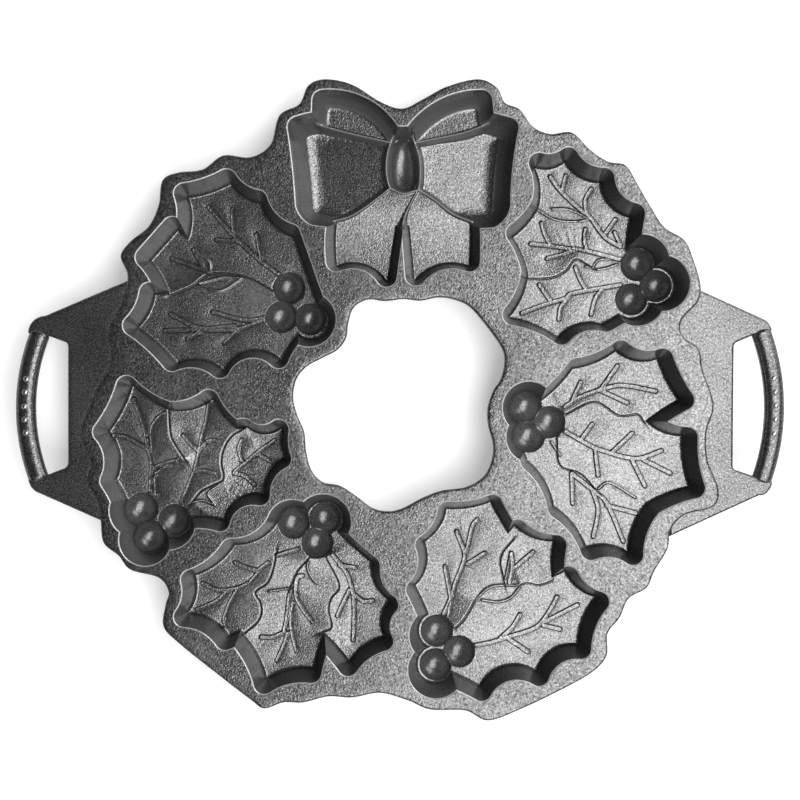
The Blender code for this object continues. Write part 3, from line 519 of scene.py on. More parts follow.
CENTRE_HOLE = [
    (-16, 49.8), (-7.5, 49), (1.5, 50), (10, 49.2), (18.5, 50.8), (26, 50), (33.5, 47), (40, 40.5),
    (50, 27), (52.2, 19.5), (50.5, 10.5), (46.5, 4), (43.8, -4.5), (44, -13), (46.5, -23), (45.5, -31.5),
    (41.5, -39), (33, -44), (20, -46), (10, -50), (1.5, -54.5), (-6, -56.2), (-14, -54.5), (-21.5, -49),
    (-30, -43.5), (-39, -41.5), (-44.5, -35.5), (-47, -26.5), (-48, -16.5), (-51.5, -8), (-53.5, 0.5),
    (-52, 9.5), (-47, 16), (-39, 20.5), (-31.5, 24.5), (-27, 30.5), (-25.8, 38.5), (-23, 46),
]
BRACKET_OUTLINES = {
    "left": [
        (-130, -4, 0), (-135, -68, 0), (-150, -61, 0), (-182.5, -46.6, 0.8), (-186.5, -40.5, 0),
        (-177, -38, 0), (-168, -34.5, -0.4), (-166.5, -31.5, 0), (-166.5, 26.5, -0.4), (-168, 28.5, 0),
        (-176, 31.5, 0), (-186.5, 33, 0.6), (-184.6, 38.6, 0.8), (-178, 41.8, 0), (-135, 60.2, 0),
    ],
    "right": [
        (130, -4, 0), (135, 61.6, 0), (182.5, 40, 0.8), (186.5, 34.5, 0), (176.5, 31.8, 0),
        (168.8, 28.5, -0.4), (167.3, 26, 0), (166.8, -33, -0.4), (168, -35.5, 0), (177, -38.5, 0),
        (186.5, -41.5, 0.6), (184.8, -46, 0.8), (180, -48.4, 0), (142.5, -65.5, 0), (135, -69, 0),
    ],
}
GRIP_LINES = {
    "left": [(-181.2, 32.2), (-188, -3), (-181.8, -39.2)],
    "right": [(181.8, -40), (188, -3.5), (181.5, 33.1)],
}


def bowed_edge(start, end, bow):
    """Points along the arc from one corner to the next whose middle stands out from the chord by bow."""
    chord = end - start
    length = math.hypot(*chord)
    share = np.linspace(0, 1, max(math.ceil(length / EDGE_STEP), 2) + 1)[:, None]
    if abs(bow) < SAME_PLACE:
        return start + share * chord
    along = chord / length
    out = np.array([-along[1], along[0]])
    half_turn = 2 * math.atan(2 * bow / length)
    radius = length / (2 * math.sin(half_turn))
    middle = (start + end) / 2 - out * radius * math.cos(half_turn)
    turn = half_turn * (2 * share - 1)
    return middle + radius * (out * np.cos(turn) + along * np.sin(turn))


def round_edge(start, end, middle):
    """Points clockwise round a berry's middle, whose radius goes evenly from the first corner's to the
    last's."""
    arms = [start - middle, end - middle]
    first, last = [math.atan2(arm[1], arm[0]) for arm in arms]
    sweep = (first - last) % (2 * math.pi)
    reach = [math.hypot(*arm) for arm in arms]
    share = np.linspace(0, 1, math.ceil(sweep * max(reach) / EDGE_STEP) + 1)[:, None]
    angle = first - sweep * share
    radius = reach[0] + share * (reach[1] - reach[0])
    return middle + radius * np.hstack([np.cos(angle), np.sin(angle)])


def left_of(ahead):
    """The unit vectors a quarter turn to the left of each direction."""
    ahead = ahead / np.linalg.norm(ahead, axis=1, keepdims=True)
    return np.column_stack([-ahead[:, 1], ahead[:, 0]])


def outward_of(run):
    """The unit normals on the left of an open run of points, from its gradient."""
    return left_of(np.gradient(run, axis=0))


def outward_round(loop):
    """The unit normals on the left of a closed loop, from the chord between each point's two
    neighbours."""
    return left_of(np.roll(loop, -1, 0) - np.roll(loop, 1, 0))


def traced(rows):
    """A cornered outline as points and the outward normal at each, with a fan of normals at every tip."""
    corners = [np.array(row[:2], float) for row in rows]
    runs = []
    for index, row in enumerate(rows):
        start = corners[index]
        end = corners[(index + 1) % len(rows)]
        if isinstance(row[2], tuple):
            runs.append(round_edge(start, end, np.array(row[2], float)))
        else:
            runs.append(bowed_edge(start, end, row[2]))
    sides = [outward_of(run) for run in runs]
    points, outward = [], []
    for index, run in enumerate(runs):
        points.append(run)
        outward.append(sides[index])
        arriving = math.atan2(sides[index][-1][1], sides[index][-1][0])
        leaving_side = sides[(index + 1) % len(runs)][0]
        leaving = math.atan2(leaving_side[1], leaving_side[0])
        turn = (arriving - leaving + math.pi) % (2 * math.pi) - math.pi
        steps = math.ceil(turn / FAN_STEP)
        if steps > 1:
            angle = arriving - turn * np.arange(1, steps) / steps
            outward.append(np.column_stack([np.cos(angle), np.sin(angle)]))
            points.append(np.repeat(run[-1:], steps - 1, axis=0))
    return np.vstack(points), np.vstack(outward)


def through(knots, closed, step):
    """A Catmull-Rom curve through the knots, whose rows may hold more than x and y, sampled every
    step."""
    knots = np.array(knots, float)
    if closed:
        stops = np.vstack([knots[-1:], knots, knots[:2]])
    else:
        stops = np.vstack([2 * knots[:1] - knots[1:2], knots, 2 * knots[-1:] - knots[-2:-1]])
    pieces = []
    for p0, p1, p2, p3 in zip(stops, stops[1:], stops[2:], stops[3:]):
        count = max(math.ceil(math.hypot(*(p2 - p1)[:2]) / step), 2)
        t = np.linspace(0, 1, count + 1)[:-1, None]
        pieces.append(0.5 * (
            2 * p1 + (p2 - p0) * t
            + (2 * p0 - 5 * p1 + 4 * p2 - p3) * t**2
            + (3 * p1 - p0 - 3 * p2 + p3) * t**3
        ))
    if not closed:
        pieces.append(knots[-1:])
    return np.vstack(pieces)


def smooth_line(knots):
    """A smooth closed outline as points and outward normals."""
    points = through(knots, True, ROUND_STEP)
    return points, outward_round(points)


def nearest(places, line, closed):
    """For each place its distance to a line of points, how far past the line's end it lies, which side it
    is on (positive left) and the share of the way along the line: the foot of the perpendicular on each
    segment, clamped to the segment, and then the least of them."""
    start = line if closed else line[:-1]
    chord = (np.roll(line, -1, 0) if closed else line[1:]) - start
    length = np.maximum((chord**2).sum(1), TINY)
    start_along = (start * chord).sum(1)
    start_squared = (start**2).sum(1)
    results = []
    for block in np.array_split(places, max(len(places) * len(start) // BLOCK, 1)):
        along = block @ chord.T - start_along
        share = np.clip(along / length, 0, 1)
        squared = start_squared - 2 * block @ start.T - share * (2 * along - share * length)
        best = squared.argmin(1)
        arm = block - start[best]
        best_share = share[np.arange(len(block)), best]
        distance = np.linalg.norm(arm - best_share[:, None] * chord[best], axis=1)
        side = (chord[best, 0] * arm[:, 1] - chord[best, 1] * arm[:, 0]) / np.sqrt(length[best])
        past = np.sqrt(np.maximum(distance**2 - side**2, 0))
        results.append(np.column_stack([distance, past, side, (best + best_share) / len(start)]))
    return np.vstack(results).T


def within_reach(places, line, reach):
    """nearest() for the places within reach of an open line's box, and FAR away for the others."""
    found = np.zeros((4, len(places)))
    found[:2] = FAR
    picked = ((places > line.min(0) - reach) & (places < line.max(0) + reach)).all(1)
    if picked.any():
        found[:, picked] = nearest(places[picked], line, False)
    return found


def inside(places, loop):
    """Whether each place is inside a closed loop: an odd number of edges crossed by the ray along +X."""
    result = np.zeros(len(places), dtype=bool)
    x1, y1 = loop[:, 0], loop[:, 1]
    x2, y2 = np.roll(x1, -1), np.roll(y1, -1)
    lean = (x2 - x1) / np.where(np.abs(y2 - y1) < TINY, TINY, y2 - y1)
    picked = np.flatnonzero(((places >= loop.min(0)) & (places <= loop.max(0))).all(1))
    for rows in np.array_split(picked, max(len(picked) * len(loop) // BLOCK, 1)):
        x, y = places[rows, :1], places[rows, 1:2]
        crosses = ((y1 > y) != (y2 > y)) & (x < x1 + (y - y1) * lean)
        result[rows] = crosses.sum(1) % 2 == 1
    return result


def offset(line, distance):
    """A line carried along its normals: points + distance * outward. A stretch that comes nearer to the
    line than the distance is cut back to the notch where the tangents at its two ends meet."""
    points, outward = line
    moved = points + distance * outward
    if abs(distance) < SAME_PLACE:
        return moved
    clear = nearest(moved, points, True)[0] > abs(distance) - TRIM_SLACK
    if clear.all():
        return moved
    count = len(moved)
    order = (np.arange(count) + int(np.argmax(clear))) % count
    moved, clear = moved[order], clear[order]
    place = np.arange(count)
    before = np.maximum.accumulate(np.where(clear, place, 0))
    after = np.minimum.accumulate(np.where(clear, place, count)[::-1])[::-1]
    a, b = moved[before], moved[(before + 1) % count]
    c, d = moved[(after - 1) % count], moved[after % count]
    first, second = b - a, d - c
    area = first[:, 0] * second[:, 1] - first[:, 1] * second[:, 0]
    flat = np.abs(area) < PARALLEL
    share = ((c - a)[:, 0] * second[:, 1] - (c - a)[:, 1] * second[:, 0]) / np.where(flat, 1, area)
    spot = a + share[:, None] * first
    halfway = (a + d) / 2
    far = flat | (np.linalg.norm(spot - halfway, axis=1) > NOTCH_REACH)
    spot[far] = halfway[far]
    moved[~clear] = spot[~clear]
    back = np.empty_like(moved)
    back[order] = moved
    return back


def smooth_max(a, b, blend):
    """The larger of two heights, with a fillet where they are within blend of each other."""
    return np.maximum(a, b) + np.maximum(blend - np.abs(a - b), 0) ** 2 / (4 * blend)


def smooth_min(a, b, blend):
    """The smaller of two heights, with a fillet where they are within blend of each other."""
    return -smooth_max(-a, -b, blend)


def ease(low, high, value):
    """The smooth step from 0 at low to 1 at high."""
    share = np.clip((value - low) / (high - low), 0, 1)
    return share * share * (3 - 2 * share)


def bell(value, middle, width):
    """The bell curve e^-((value - middle) / width)^2."""
    return np.exp(-(((value - middle) / width) ** 2))


def fade(distance, length):
    """The decay e^-(distance / length)."""
    return np.exp(-distance / length)


def hex_grid(loop, step):
    """The places of a hexagonal grid over a loop's box."""
    low, high = loop.min(0), loop.max(0)
    across = np.arange(low[0], high[0], step)
    x, y = np.meshgrid(across, np.arange(low[1], high[1], step * math.sqrt(0.75)))
    x[1::2] += step / 2
    return np.column_stack([x.ravel(), y.ravel()])


def well_inside(places, loops, gap):
    """The places inside the first loop and outside the others that are more than gap from every loop."""
    kept = inside(places, loops[0])
    for loop in loops[1:]:
        kept &= ~inside(places, loop)
    places = places[kept]
    return places[np.min([nearest(places, loop, True)[0] for loop in loops], axis=0) > gap]


def oval(half, count, power=2.0):
    """Points on the closed curve |x/a|^power + |y/b|^power = 1, by the angle from its middle."""
    angle = np.linspace(0, 2 * math.pi, count, endpoint=False)
    turn = np.column_stack([np.cos(angle), np.sin(angle)])
    return np.array(half) * np.sign(turn) * np.abs(turn) ** (2 / power)


def thinned(places, cell):
    """One place for each square cell of a grid."""
    kept = np.unique(np.round(places / cell).astype(np.int64), axis=0, return_index=True)[1]
    return places[np.sort(kept)]


def band(rings):
    """The triangles that join each closed ring of points to the next: a grid whose two parameters are the
    place along the outline and the place along the profile. Each cell is cut along its shorter
    diagonal."""
    rings = np.asarray(rings, float)
    rows, count = rings.shape[:2]
    index = np.arange(rows * count).reshape(rows, count)
    after = np.roll(index, -1, 1)
    a, b, c, d = index[:-1], after[:-1], after[1:], index[1:]
    points = rings.reshape(rows * count, -1)
    spots = points[:, :3]
    short = np.linalg.norm(spots[a] - spots[c], axis=2) <= np.linalg.norm(spots[b] - spots[d], axis=2)
    one = np.where(short[..., None], np.stack([a, b, c], 2), np.stack([a, b, d], 2))
    two = np.where(short[..., None], np.stack([a, c, d], 2), np.stack([b, c, d], 2))
    return points, np.vstack([one.reshape(-1, 3), two.reshape(-1, 3)])


def filled(loops, extra):
    """The Delaunay triangles between closed loops, the first of which holds the others, through extra
    places. The last of the three results is the row of each place in the loops and the extra places, or
    -1. Only a triangle with all its corners on the loops can lie outside them, so only those are tested,
    and slivers go."""
    counts = [len(loop) for loop in loops]
    starts = np.cumsum([0] + counts)
    places = np.vstack([*loops, extra])
    after = [start + (np.arange(count) + 1) % count for start, count in zip(starts, counts)]
    edges = np.column_stack([np.arange(starts[-1]), np.concatenate(after)])
    made = delaunay_2d_cdt(places.tolist(), edges.tolist(), [], 0, SAME_SPOT, True)
    spots = np.array(made[0], float)
    shares = np.fromiter(map(len, made[3]), int)
    origins = np.fromiter(itertools.chain.from_iterable(made[3]), int)
    source = np.full(len(spots), -1)
    source[shares > 0] = origins[(np.cumsum(shares) - shares)[shares > 0]]
    spots[source >= 0] = places[source[source >= 0]]
    corners = np.array(made[2])
    doubtful = np.flatnonzero((source[corners] < starts[-1]).all(1))
    first, second, third = spots[corners[doubtful]].transpose(1, 0, 2)
    middle = (first + second + third) / 3
    wrong = np.abs(np.cross(second - first, third - first)) < SAME_PLACE
    wrong |= ~inside(middle, loops[0])
    for loop in loops[1:]:
        wrong |= inside(middle, loop)
    return spots, np.delete(corners, doubtful[wrong], 0), source


def raised(places, heights, worn=0.0, crease_shade=0.0, drawn=0.0):
    """Places with a height, or an array of heights, as points in space, followed by the three marks."""
    columns = [np.broadcast_to(value, len(places)) for value in (heights, worn, crease_shade, drawn)]
    return np.column_stack([places, *columns])


def shift():
    """How far the solids' frame stands from the outlines': the deck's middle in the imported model."""
    low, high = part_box("wreath_deck")
    deck = through(DECK_OUTLINE, True, EDGE_STEP)
    return (np.array(low[:2]) + np.array(high[:2])) / 2 / MM - (deck.min(0) + deck.max(0)) / 2


def cast(name, surfaces, material, nodes=()):
    """One closed mesh from surfaces that meet exactly: their points are welded, the faces are turned
    outwards and the marks become attributes. The piece rides with the pan and stands for the given
    solids."""
    starts = np.cumsum([0] + [len(points) for points, _ in surfaces])
    points = np.vstack([points for points, _ in surfaces])
    faces = np.vstack([faces + start for (_, faces), start in zip(surfaces, starts)])
    cells = np.round(points[:, :3] / SAME_PLACE).astype(np.int64)
    _, first, source = np.unique(cells, axis=0, return_index=True, return_inverse=True)
    points, faces = points[first], source.reshape(-1)[faces]
    whole = (faces[:, 0] != faces[:, 1]) & (faces[:, 1] != faces[:, 2]) & (faces[:, 0] != faces[:, 2])
    used, faces = np.unique(faces[whole], return_inverse=True)
    faces = faces.reshape(-1, 3)
    points = points[used]
    points[:, :2] += shift()
    mesh = bpy.data.meshes.new(name)
    mesh.vertices.add(len(points))
    mesh.vertices.foreach_set("co", (points[:, :3] * MM).astype(np.float32).ravel())
    mesh.loops.add(faces.size)
    mesh.loops.foreach_set("vertex_index", faces.astype(np.int32).ravel())
    mesh.polygons.add(len(faces))
    mesh.polygons.foreach_set("loop_start", np.arange(0, faces.size, 3, dtype=np.int32))
    mesh.polygons.foreach_set("loop_total", np.full(len(faces), 3, dtype=np.int32))
    for label, values in zip(MARKS, points[:, 3:].T):
        mesh.attributes.new(label, "FLOAT", "POINT").data.foreach_set("value", values.astype(np.float32))
    mesh.update(calc_edges=True)
    mesh.validate()
    work = bmesh.new()
    work.from_mesh(mesh)
    bmesh.ops.remove_doubles(work, verts=work.verts[:], dist=WELD)
    bmesh.ops.holes_fill(work, edges=work.edges[:], sides=0)
    bmesh.ops.triangulate(work, faces=work.faces[:])
    bmesh.ops.recalc_face_normals(work, faces=work.faces[:])
    work.to_mesh(mesh)
    work.free()
    mesh.polygons.foreach_set("use_smooth", np.ones(len(mesh.polygons), dtype=bool))
    mesh.set_sharp_from_angle(angle=SHARP_ANGLE)
    mesh.materials.append(material)
    piece = bpy.data.objects.new(name, mesh)
    bpy.context.scene.collection.objects.link(piece)
    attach(piece, BODY)
    if nodes:
        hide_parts(*nodes)
    return piece


def lip_profile(sizes):
    """The mould's rolled lip as (offset, height) rows: a quarter round that is tangent to the deck's top
    and to the drafted wall, from the deck's edge down."""
    radius = sizes.lip_radius / MM
    lean = math.atan2(WALL_RUN, TOP_Z - FLOOR_Z)
    tangent = radius * math.tan((math.pi / 2 - lean) / 2)
    middle = TIP_RADIUS + WALL_RUN + tangent
    angle = np.linspace(math.pi / 2, math.pi - lean, LIP_ROWS)
    return np.column_stack([middle + radius * np.cos(angle), TOP_Z - radius + radius * np.sin(angle)])


def wall_height(distance):
    """The drafted wall as a height: it stands TIP_RADIUS outside the outline at the floor and leans out
    by WALL_RUN on its way up to the deck."""
    return FLOOR_Z + (distance - TIP_RADIUS) * (TOP_Z - FLOOR_Z) / WALL_RUN


def leaf_floor(name, places, sizes):
    """The floor under a sprig: level, a step up on the left of each leaf edge that fades away from it, a
    low ridge along each crease, and a round-topped rib along each vein, with the floor dished slightly
    beside it. The result's columns are the height and two marks: rubbed at the top of each step and
    crease, and painted shade in the line at the foot of every form."""
    lines = LEAF_LINES[name]
    height = np.full(len(places), FLOOR_Z)
    crease_shade, rib = np.zeros((2, len(places)))
    worn = np.full(len(places), FLOOR_RUB)
    for knots in lines["edges"]:
        distance, past, side, _ = within_reach(places, through(knots, False, LINE_STEP), EDGE_LIMIT)
        step = sizes.leaf_step / MM * ease(-EDGE_HALF, EDGE_HALF, side)
        step *= fade(np.maximum(side, 0), EDGE_SINK)
        height += step * fade(past, EDGE_END_FADE) * ease(*EDGE_REACH, distance)
        groove = bell(side, *GROOVE_BELL) * fade(past, GROOVE_END_FADE)
        height -= GROOVE_DEPTH * groove
        # Painted shade in the groove at the foot of the step
        crease_shade = np.maximum(crease_shade, groove)
        worn = np.maximum(worn, EDGE_RUB * bell(side, *EDGE_TOP_BELL) * fade(past, GROOVE_END_FADE))
    for knots in lines["creases"]:
        distance = within_reach(places, through(knots, False, LINE_STEP), CREASE_LIMIT)[0]
        rib = np.maximum(rib, sizes.crease_height / MM * ease(*CREASE_SIDE, distance))
        worn = np.maximum(worn, CREASE_RUB * ease(*CREASE_TOP, distance))
        # Painted shade at the foot of the crease
        crease_shade = np.maximum(crease_shade, CREASE_SHADE_SHARE * bell(distance, *CREASE_SHADE_BELL))
    dish = np.full(len(places), FAR)
    for knots in lines["veins"]:
        distance = within_reach(places, through(knots, False, LINE_STEP), VEIN_LIMIT)[0]
        rib = np.maximum(rib, sizes.vein_height / MM * ease(*VEIN_SIDE, distance))
        dish = np.minimum(dish, distance)
    # Painted shade along the foot of each vein, and none on the veins' crests
    crease_shade = np.maximum(crease_shade, VEIN_SHADE_SHARE * bell(dish, *VEIN_SHADE_BELL)) * ease(*VEIN_SHADE_START, dish)
    return np.column_stack([height + rib - DISH_DEPTH * fade(dish, DISH_FADE), worn, crease_shade])


def round_pits(name, places):
    """The berry pits as heights: the lower half of a ball at each berry, and high above it elsewhere."""
    height = np.full(len(places), FAR)
    for middle in HOLLY_BERRIES[name]:
        reach = ((places - np.array(middle)) ** 2).sum(1)
        ball = BERRY_MIDDLE_Z - np.sqrt(np.maximum(BERRY_RADIUS**2 - reach, 0))
        height = np.where(reach < BERRY_RADIUS**2, np.minimum(height, ball), height)
    return height


def sprig_floor(name, sizes):
    """A sprig's floor with its pits, as a function of places: the lower of the two, filleted. The pits
    have no marks but that they drew smoothly."""
    def floor(places):
        leaf = leaf_floor(name, places, sizes)
        pits = round_pits(name, places)
        leaf_share = ease(*PIT_BLEND, pits - leaf[:, 0])
        leaf[:, 1:] *= leaf_share[:, None]
        leaf[:, 0] = smooth_min(leaf[:, 0], pits, PIT_FILLET)
        return np.column_stack([leaf, PIT_SMOOTHNESS * (1 - leaf_share)])
    return floor


def ellipsoid_under(places, middle, half, middle_z):
    """The lower half of an ellipsoid as heights, and its middle's height outside it."""
    reach = (((places - np.array(middle)) / np.array(half[:2])) ** 2).sum(1)
    return middle_z - half[2] * np.sqrt(np.maximum(1 - reach, 0))


def swept(gap, foot, rise):
    """The height that a side sweeps up from a floor: rise times a power of the share of the way from its
    foot, a gap inside the wall's outline, to the place where it meets the wall."""
    return rise * np.maximum((foot - gap) / (foot + SWEEP_START), 0) ** SWEEP_POWER


def bow_floor(places, gap):
    """The bow's floor, where gap is how far each place is inside the wall's outline: loops and lobes
    whose sides sweep up to the wall, lobes that fall away from the knot, tails whose fall from the knot
    eases off as a parabola, a long round pit for the knot, and the ridges between them. The result's
    columns are the height and three marks: rubbed on the ridges' crests, no painted shade, and drawn
    smoothly on the sides."""
    gap = np.clip(gap, *BOW_GAPS)
    away = np.abs(places[:, 0] - KNOT_MIDDLE[0])
    height = FLOOR_Z + LOBE_RISE * np.maximum(1 - away / LOBE_REACH, 0)
    height += LOBE_DISH * np.maximum(1 - np.maximum(gap, 0) / LOBE_DISH_REACH, 0) ** 2
    height += swept(gap, *LOBE_SWEEP)
    drawn = ease(*LOBE_DRAWN, gap)
    for loop in BOW_LOOPS:
        within = inside(places, np.array(loop, float))
        height = np.where(within, LOOP_FLOOR_Z + swept(gap, *LOOP_SWEEP), height)
        drawn = np.where(within, ease(*LOOP_DRAWN, gap), drawn)
    tails = inside(places, np.array(BOW_TAILS, float))
    up = np.maximum(places[:, 1] - TAIL_FOOT_Y, 0)
    fall = TAIL_FOOT_Z + TAIL_SLOPE * up + TAIL_CURVE * up**2
    height = np.where(tails, smooth_min(fall, np.full(len(up), TAIL_TOP_Z), TAIL_FILLET), height)
    drawn = np.where(tails, 0, drawn)
    knot = inside(places, np.array(BOW_KNOT, float))
    height = np.where(knot, ellipsoid_under(places, KNOT_MIDDLE, KNOT_HALF, KNOT_MIDDLE_Z), height)
    drawn = np.where(knot, PIT_SMOOTHNESS, drawn)
    worn = FLOOR_RUB * (1 - drawn)
    for rows in BOW_RIDGES:
        curve = through(rows, False, RIDGE_STEP)
        distance, _, _, share = within_reach(places, curve[:, :2], RIDGE_LIMIT)
        crest = np.interp(share, np.linspace(0, 1, len(curve)), curve[:, 2])
        ridge = crest - RIDGE_SLOPE * (np.sqrt(distance**2 + RIDGE_ROUND**2) - RIDGE_ROUND)
        drawn = np.maximum(drawn, ease(*RIDGE_DRAWN, ridge - height))
        height = smooth_max(height, ridge, RIDGE_FILLET)
        worn = np.maximum(worn, RIDGE_RUB * ease(*RIDGE_TOP, distance))
    return np.column_stack([height, worn, np.zeros(len(places)), drawn])


def beside(knots, distances, step):
    """Places along a line and at signed distances to its left, every step."""
    curve = through(knots, False, step)[:, :2]
    out = outward_of(curve)
    return np.vstack([curve + distance * out for distance in distances])


def rings_about(middle, radii, half, count):
    """Places on rings about a middle: an oval of the given half sizes, scaled by each of the radii."""
    return (np.array(middle) + np.asarray(radii)[:, None, None] * oval(half, count)[None]).reshape(-1, 2)


def floor_places(loop, lines, pits):
    """The places that a mould's floor is made through: structured rows beside every line, rings in every
    pit, a fine grid at the ends of the lines and a wide one elsewhere. A line is its knots, the distances
    of its rows and the reach in which they take the place of the grid. A pit is its middle, its half
    sizes, the shares of them at which its rings stand, and how many points each has."""
    fine = hex_grid(loop, FINE_GRID)
    wide = hex_grid(loop, OPEN_GRID)
    near = np.zeros(len(fine), dtype=bool)
    free = np.ones(len(wide), dtype=bool)
    groups = []
    for knots, distances, reach in lines:
        curve = through(knots, False, ROW_LINE_STEP)[:, :2]
        distance, past, _, _ = within_reach(fine, curve, reach)
        near |= (distance < reach) & (past > END_GAP)
        free &= within_reach(wide, curve, reach + ROW_MARGIN)[0] > reach + ROW_MARGIN
        groups.append(beside(knots, distances, ROW_STEP))
    groups += [wide[free], fine[near]]
    for middle, half, radii, count in pits:
        limit = max(radii) + PIT_MARGIN / half[0]
        groups = [group[(((group - middle) / half) ** 2).sum(1) > limit**2] for group in groups]
        groups.append(rings_about(middle, radii, half, count))
    return well_inside(thinned(np.vstack(groups), LEAST_GAP), [loop], LEAST_GAP)


def flat_fill(rim, places, level):
    """The triangles inside a rim of points, through extra places. The points on the rim stay exactly
    where they are, and level gives the height and the marks of the others."""
    spots, corners, source = filled([rim[:, :2]], places)
    points = level(spots)
    on_rim = (source >= 0) & (source < len(rim))
    points[on_rim] = rim[source[on_rim]]
    return points, corners


def inner_rings(line, floor, sizes):
    """The lip and the drafted wall of a mould as rings of points. The wall's rows are the outline carried
    outwards, each as high as the larger of the wall and the floor under it, closer together at its
    foot."""
    lip = lip_profile(sizes)
    wall = np.linspace(WALL_ROWS_START, lip[-1, 0], WALL_ROWS + 1)[:-1]
    steps = np.concatenate([FOOT_ROWS, wall])[::-1]
    rub = LIP_RUB * np.sin(np.linspace(0, math.pi, LIP_ROWS)) ** 2
    rings = [
        raised(offset(line, place), height, mark, 0, LIP_DRAWN) for (place, height), mark in zip(lip, rub)
    ]
    loops = [offset(line, place) for place in steps]
    floors = floor(np.vstack(loops)).reshape(len(steps), -1, 4)
    for loop, height, under in zip(loops, wall_height(steps), floors):
        above = height - under[:, 0]
        clear = ease(FOOT_FILLET, 0, above)
        level = smooth_max(np.full(len(loop), height), under[:, 0], FOOT_FILLET)
        drawn = np.maximum(ease(WALL_DRAWN_START, FOOT_FILLET, above), under[:, 3] * clear)
        # The floor's rub and painted shade run on into the wall's foot and fade out up it
        rings.append(raised(loop, level, under[:, 1] * clear, under[:, 2] * clear, drawn))
    return rings


def outer_place(height):
    """How far outside the outline the outer wall stands at a height: it has the inner wall's draft."""
    return TIP_RADIUS + SIDE_WALL + WALL_LEAN * (height - FLOOR_Z)


def outer_rings(line, bosses, sizes):
    """The outside of a mould as rings of points: the edge that meets the deck, the drafted outer wall and
    a rounded foot, with the bosses hanging below it."""
    radius = sizes.foot_radius / MM
    foot = UNDER_Z + radius
    rim = lip_profile(sizes)[0, 0]
    wall_top = outer_place(DECK_UNDER_Z)
    turn = np.linspace(0, math.pi / 2, 6)
    heights = np.linspace(DECK_UNDER_Z - UNDER_JOIN_DEPTH, foot, 12)
    profile = np.vstack([
        [(rim, TOP_Z), (rim, DECK_UNDER_Z), (wall_top + UNDER_JOIN, DECK_UNDER_Z)],
        [(wall_top + UNDER_JOIN / 5, DECK_UNDER_Z - UNDER_JOIN)],
        np.column_stack([outer_place(heights), heights]),
        np.column_stack([
            outer_place(foot) - radius * (1 - np.cos(turn)), UNDER_Z + radius * (1 - np.sin(turn)),
        ])[1:],
    ])
    rings = []
    for place, height in profile:
        loop = offset(line, place)
        level = np.full(len(loop), height)
        if height < foot + 1:
            level = hung(loop, level, bosses)
        rings.append(raised(loop, level))
    return rings


def hung(places, level, bosses):
    """An underside height with the bosses under it: the smaller of the two, filleted, and flat at the
    table."""
    for middle, half, middle_z in bosses:
        level = smooth_min(level, ellipsoid_under(places, middle, half, middle_z), BOSS_FILLET)
    return smooth_max(level, np.zeros(len(places)), TABLE_FILLET)


def mould_surfaces(line, floor, bosses, sizes, lines, pits):
    """The closed surface of one mould: the lip, wall and floor inside, and the wall, foot and underside
    that the bosses hang from outside. The lines and pits are those of floor_places."""
    inner = inner_rings(line, floor, sizes)
    outer = outer_rings(line, bosses, sizes)
    outer[0] = inner[0]
    places = floor_places(inner[-1][:, :2], lines, pits)
    ground = flat_fill(inner[-1], places, lambda spots: raised(spots, *floor(spots).T))
    base = outer[-1][:, :2]
    groups = [hex_grid(base, UNDER_GRID)]
    for middle, half, _ in bosses:
        groups[0] = groups[0][(((groups[0] - middle) / half[:2]) ** 2).sum(1) > BOSS_CLEARANCE**2]
        groups.append(rings_about(middle, BOSS_RINGS, half[:2], BOSS_SIDES))
    places = well_inside(thinned(np.vstack(groups), UNDER_THINNING), [base], UNDER_GAP)
    under = flat_fill(
        outer[-1], places, lambda spots: raised(spots, hung(spots, np.full(len(spots), UNDER_Z), bosses))
    )
    return [band(inner), ground, band(outer), under]


def edge_profile(radius, low, high):
    """A plate's edge as (inset, height) rows: a quarter round at the top, a level side, and one at the
    foot."""
    turn = np.linspace(0, math.pi / 2, 7)
    top = np.column_stack([radius * (1 - np.sin(turn)), high - radius * (1 - np.cos(turn))])
    foot = np.column_stack([radius * (1 - np.cos(turn)), low + radius * (1 - np.sin(turn))])
    return np.vstack([top, foot])


def rolled(line, radius, low, high, way):
    """The rows of a plate's rolled edge: the outline carried inwards (way -1) or outwards (way 1) by the
    edge profile's inset."""
    return [raised(offset(line, way * inset), height) for inset, height in edge_profile(radius, low, high)]


def plate_faces(loops, top, under, step, gap):
    """A plate's two flat faces between closed loops, through a grid that keeps a gap from them."""
    places, corners, _ = filled(loops, well_inside(hex_grid(loops[0], step), loops, gap))
    return [(raised(places, top), corners), (raised(places, under), corners)]


def deck_surfaces(lines, sizes):
    """The deck: a flat plate whose outline and centre hole are rolled over, with a square-cut opening
    that takes each mould's lip."""
    radius = sizes.deck_edge_radius / MM
    outer = rolled(smooth_line(DECK_OUTLINE), radius, DECK_UNDER_Z, TOP_Z, -1)
    hole = rolled(smooth_line(CENTRE_HOLE), radius, DECK_UNDER_Z, TOP_Z, 1)
    rings = [offset(line, lip_profile(sizes)[0, 0]) for line in lines]
    surfaces = plate_faces([outer[0][:, :2], hole[0][:, :2], *rings], TOP_Z, DECK_UNDER_Z, *DECK_GRID)
    surfaces += [band(outer), band(hole)]
    return surfaces + [band([raised(ring, TOP_Z), raised(ring, DECK_UNDER_Z)]) for ring in rings]


def run_of(mask):
    """The indices of a closed loop's one run of true values, from its first to its last."""
    count = len(mask)
    first = int(np.argmax(mask & ~np.roll(mask, 1)))
    order = (np.arange(count) + first) % count
    return order[mask[order]]


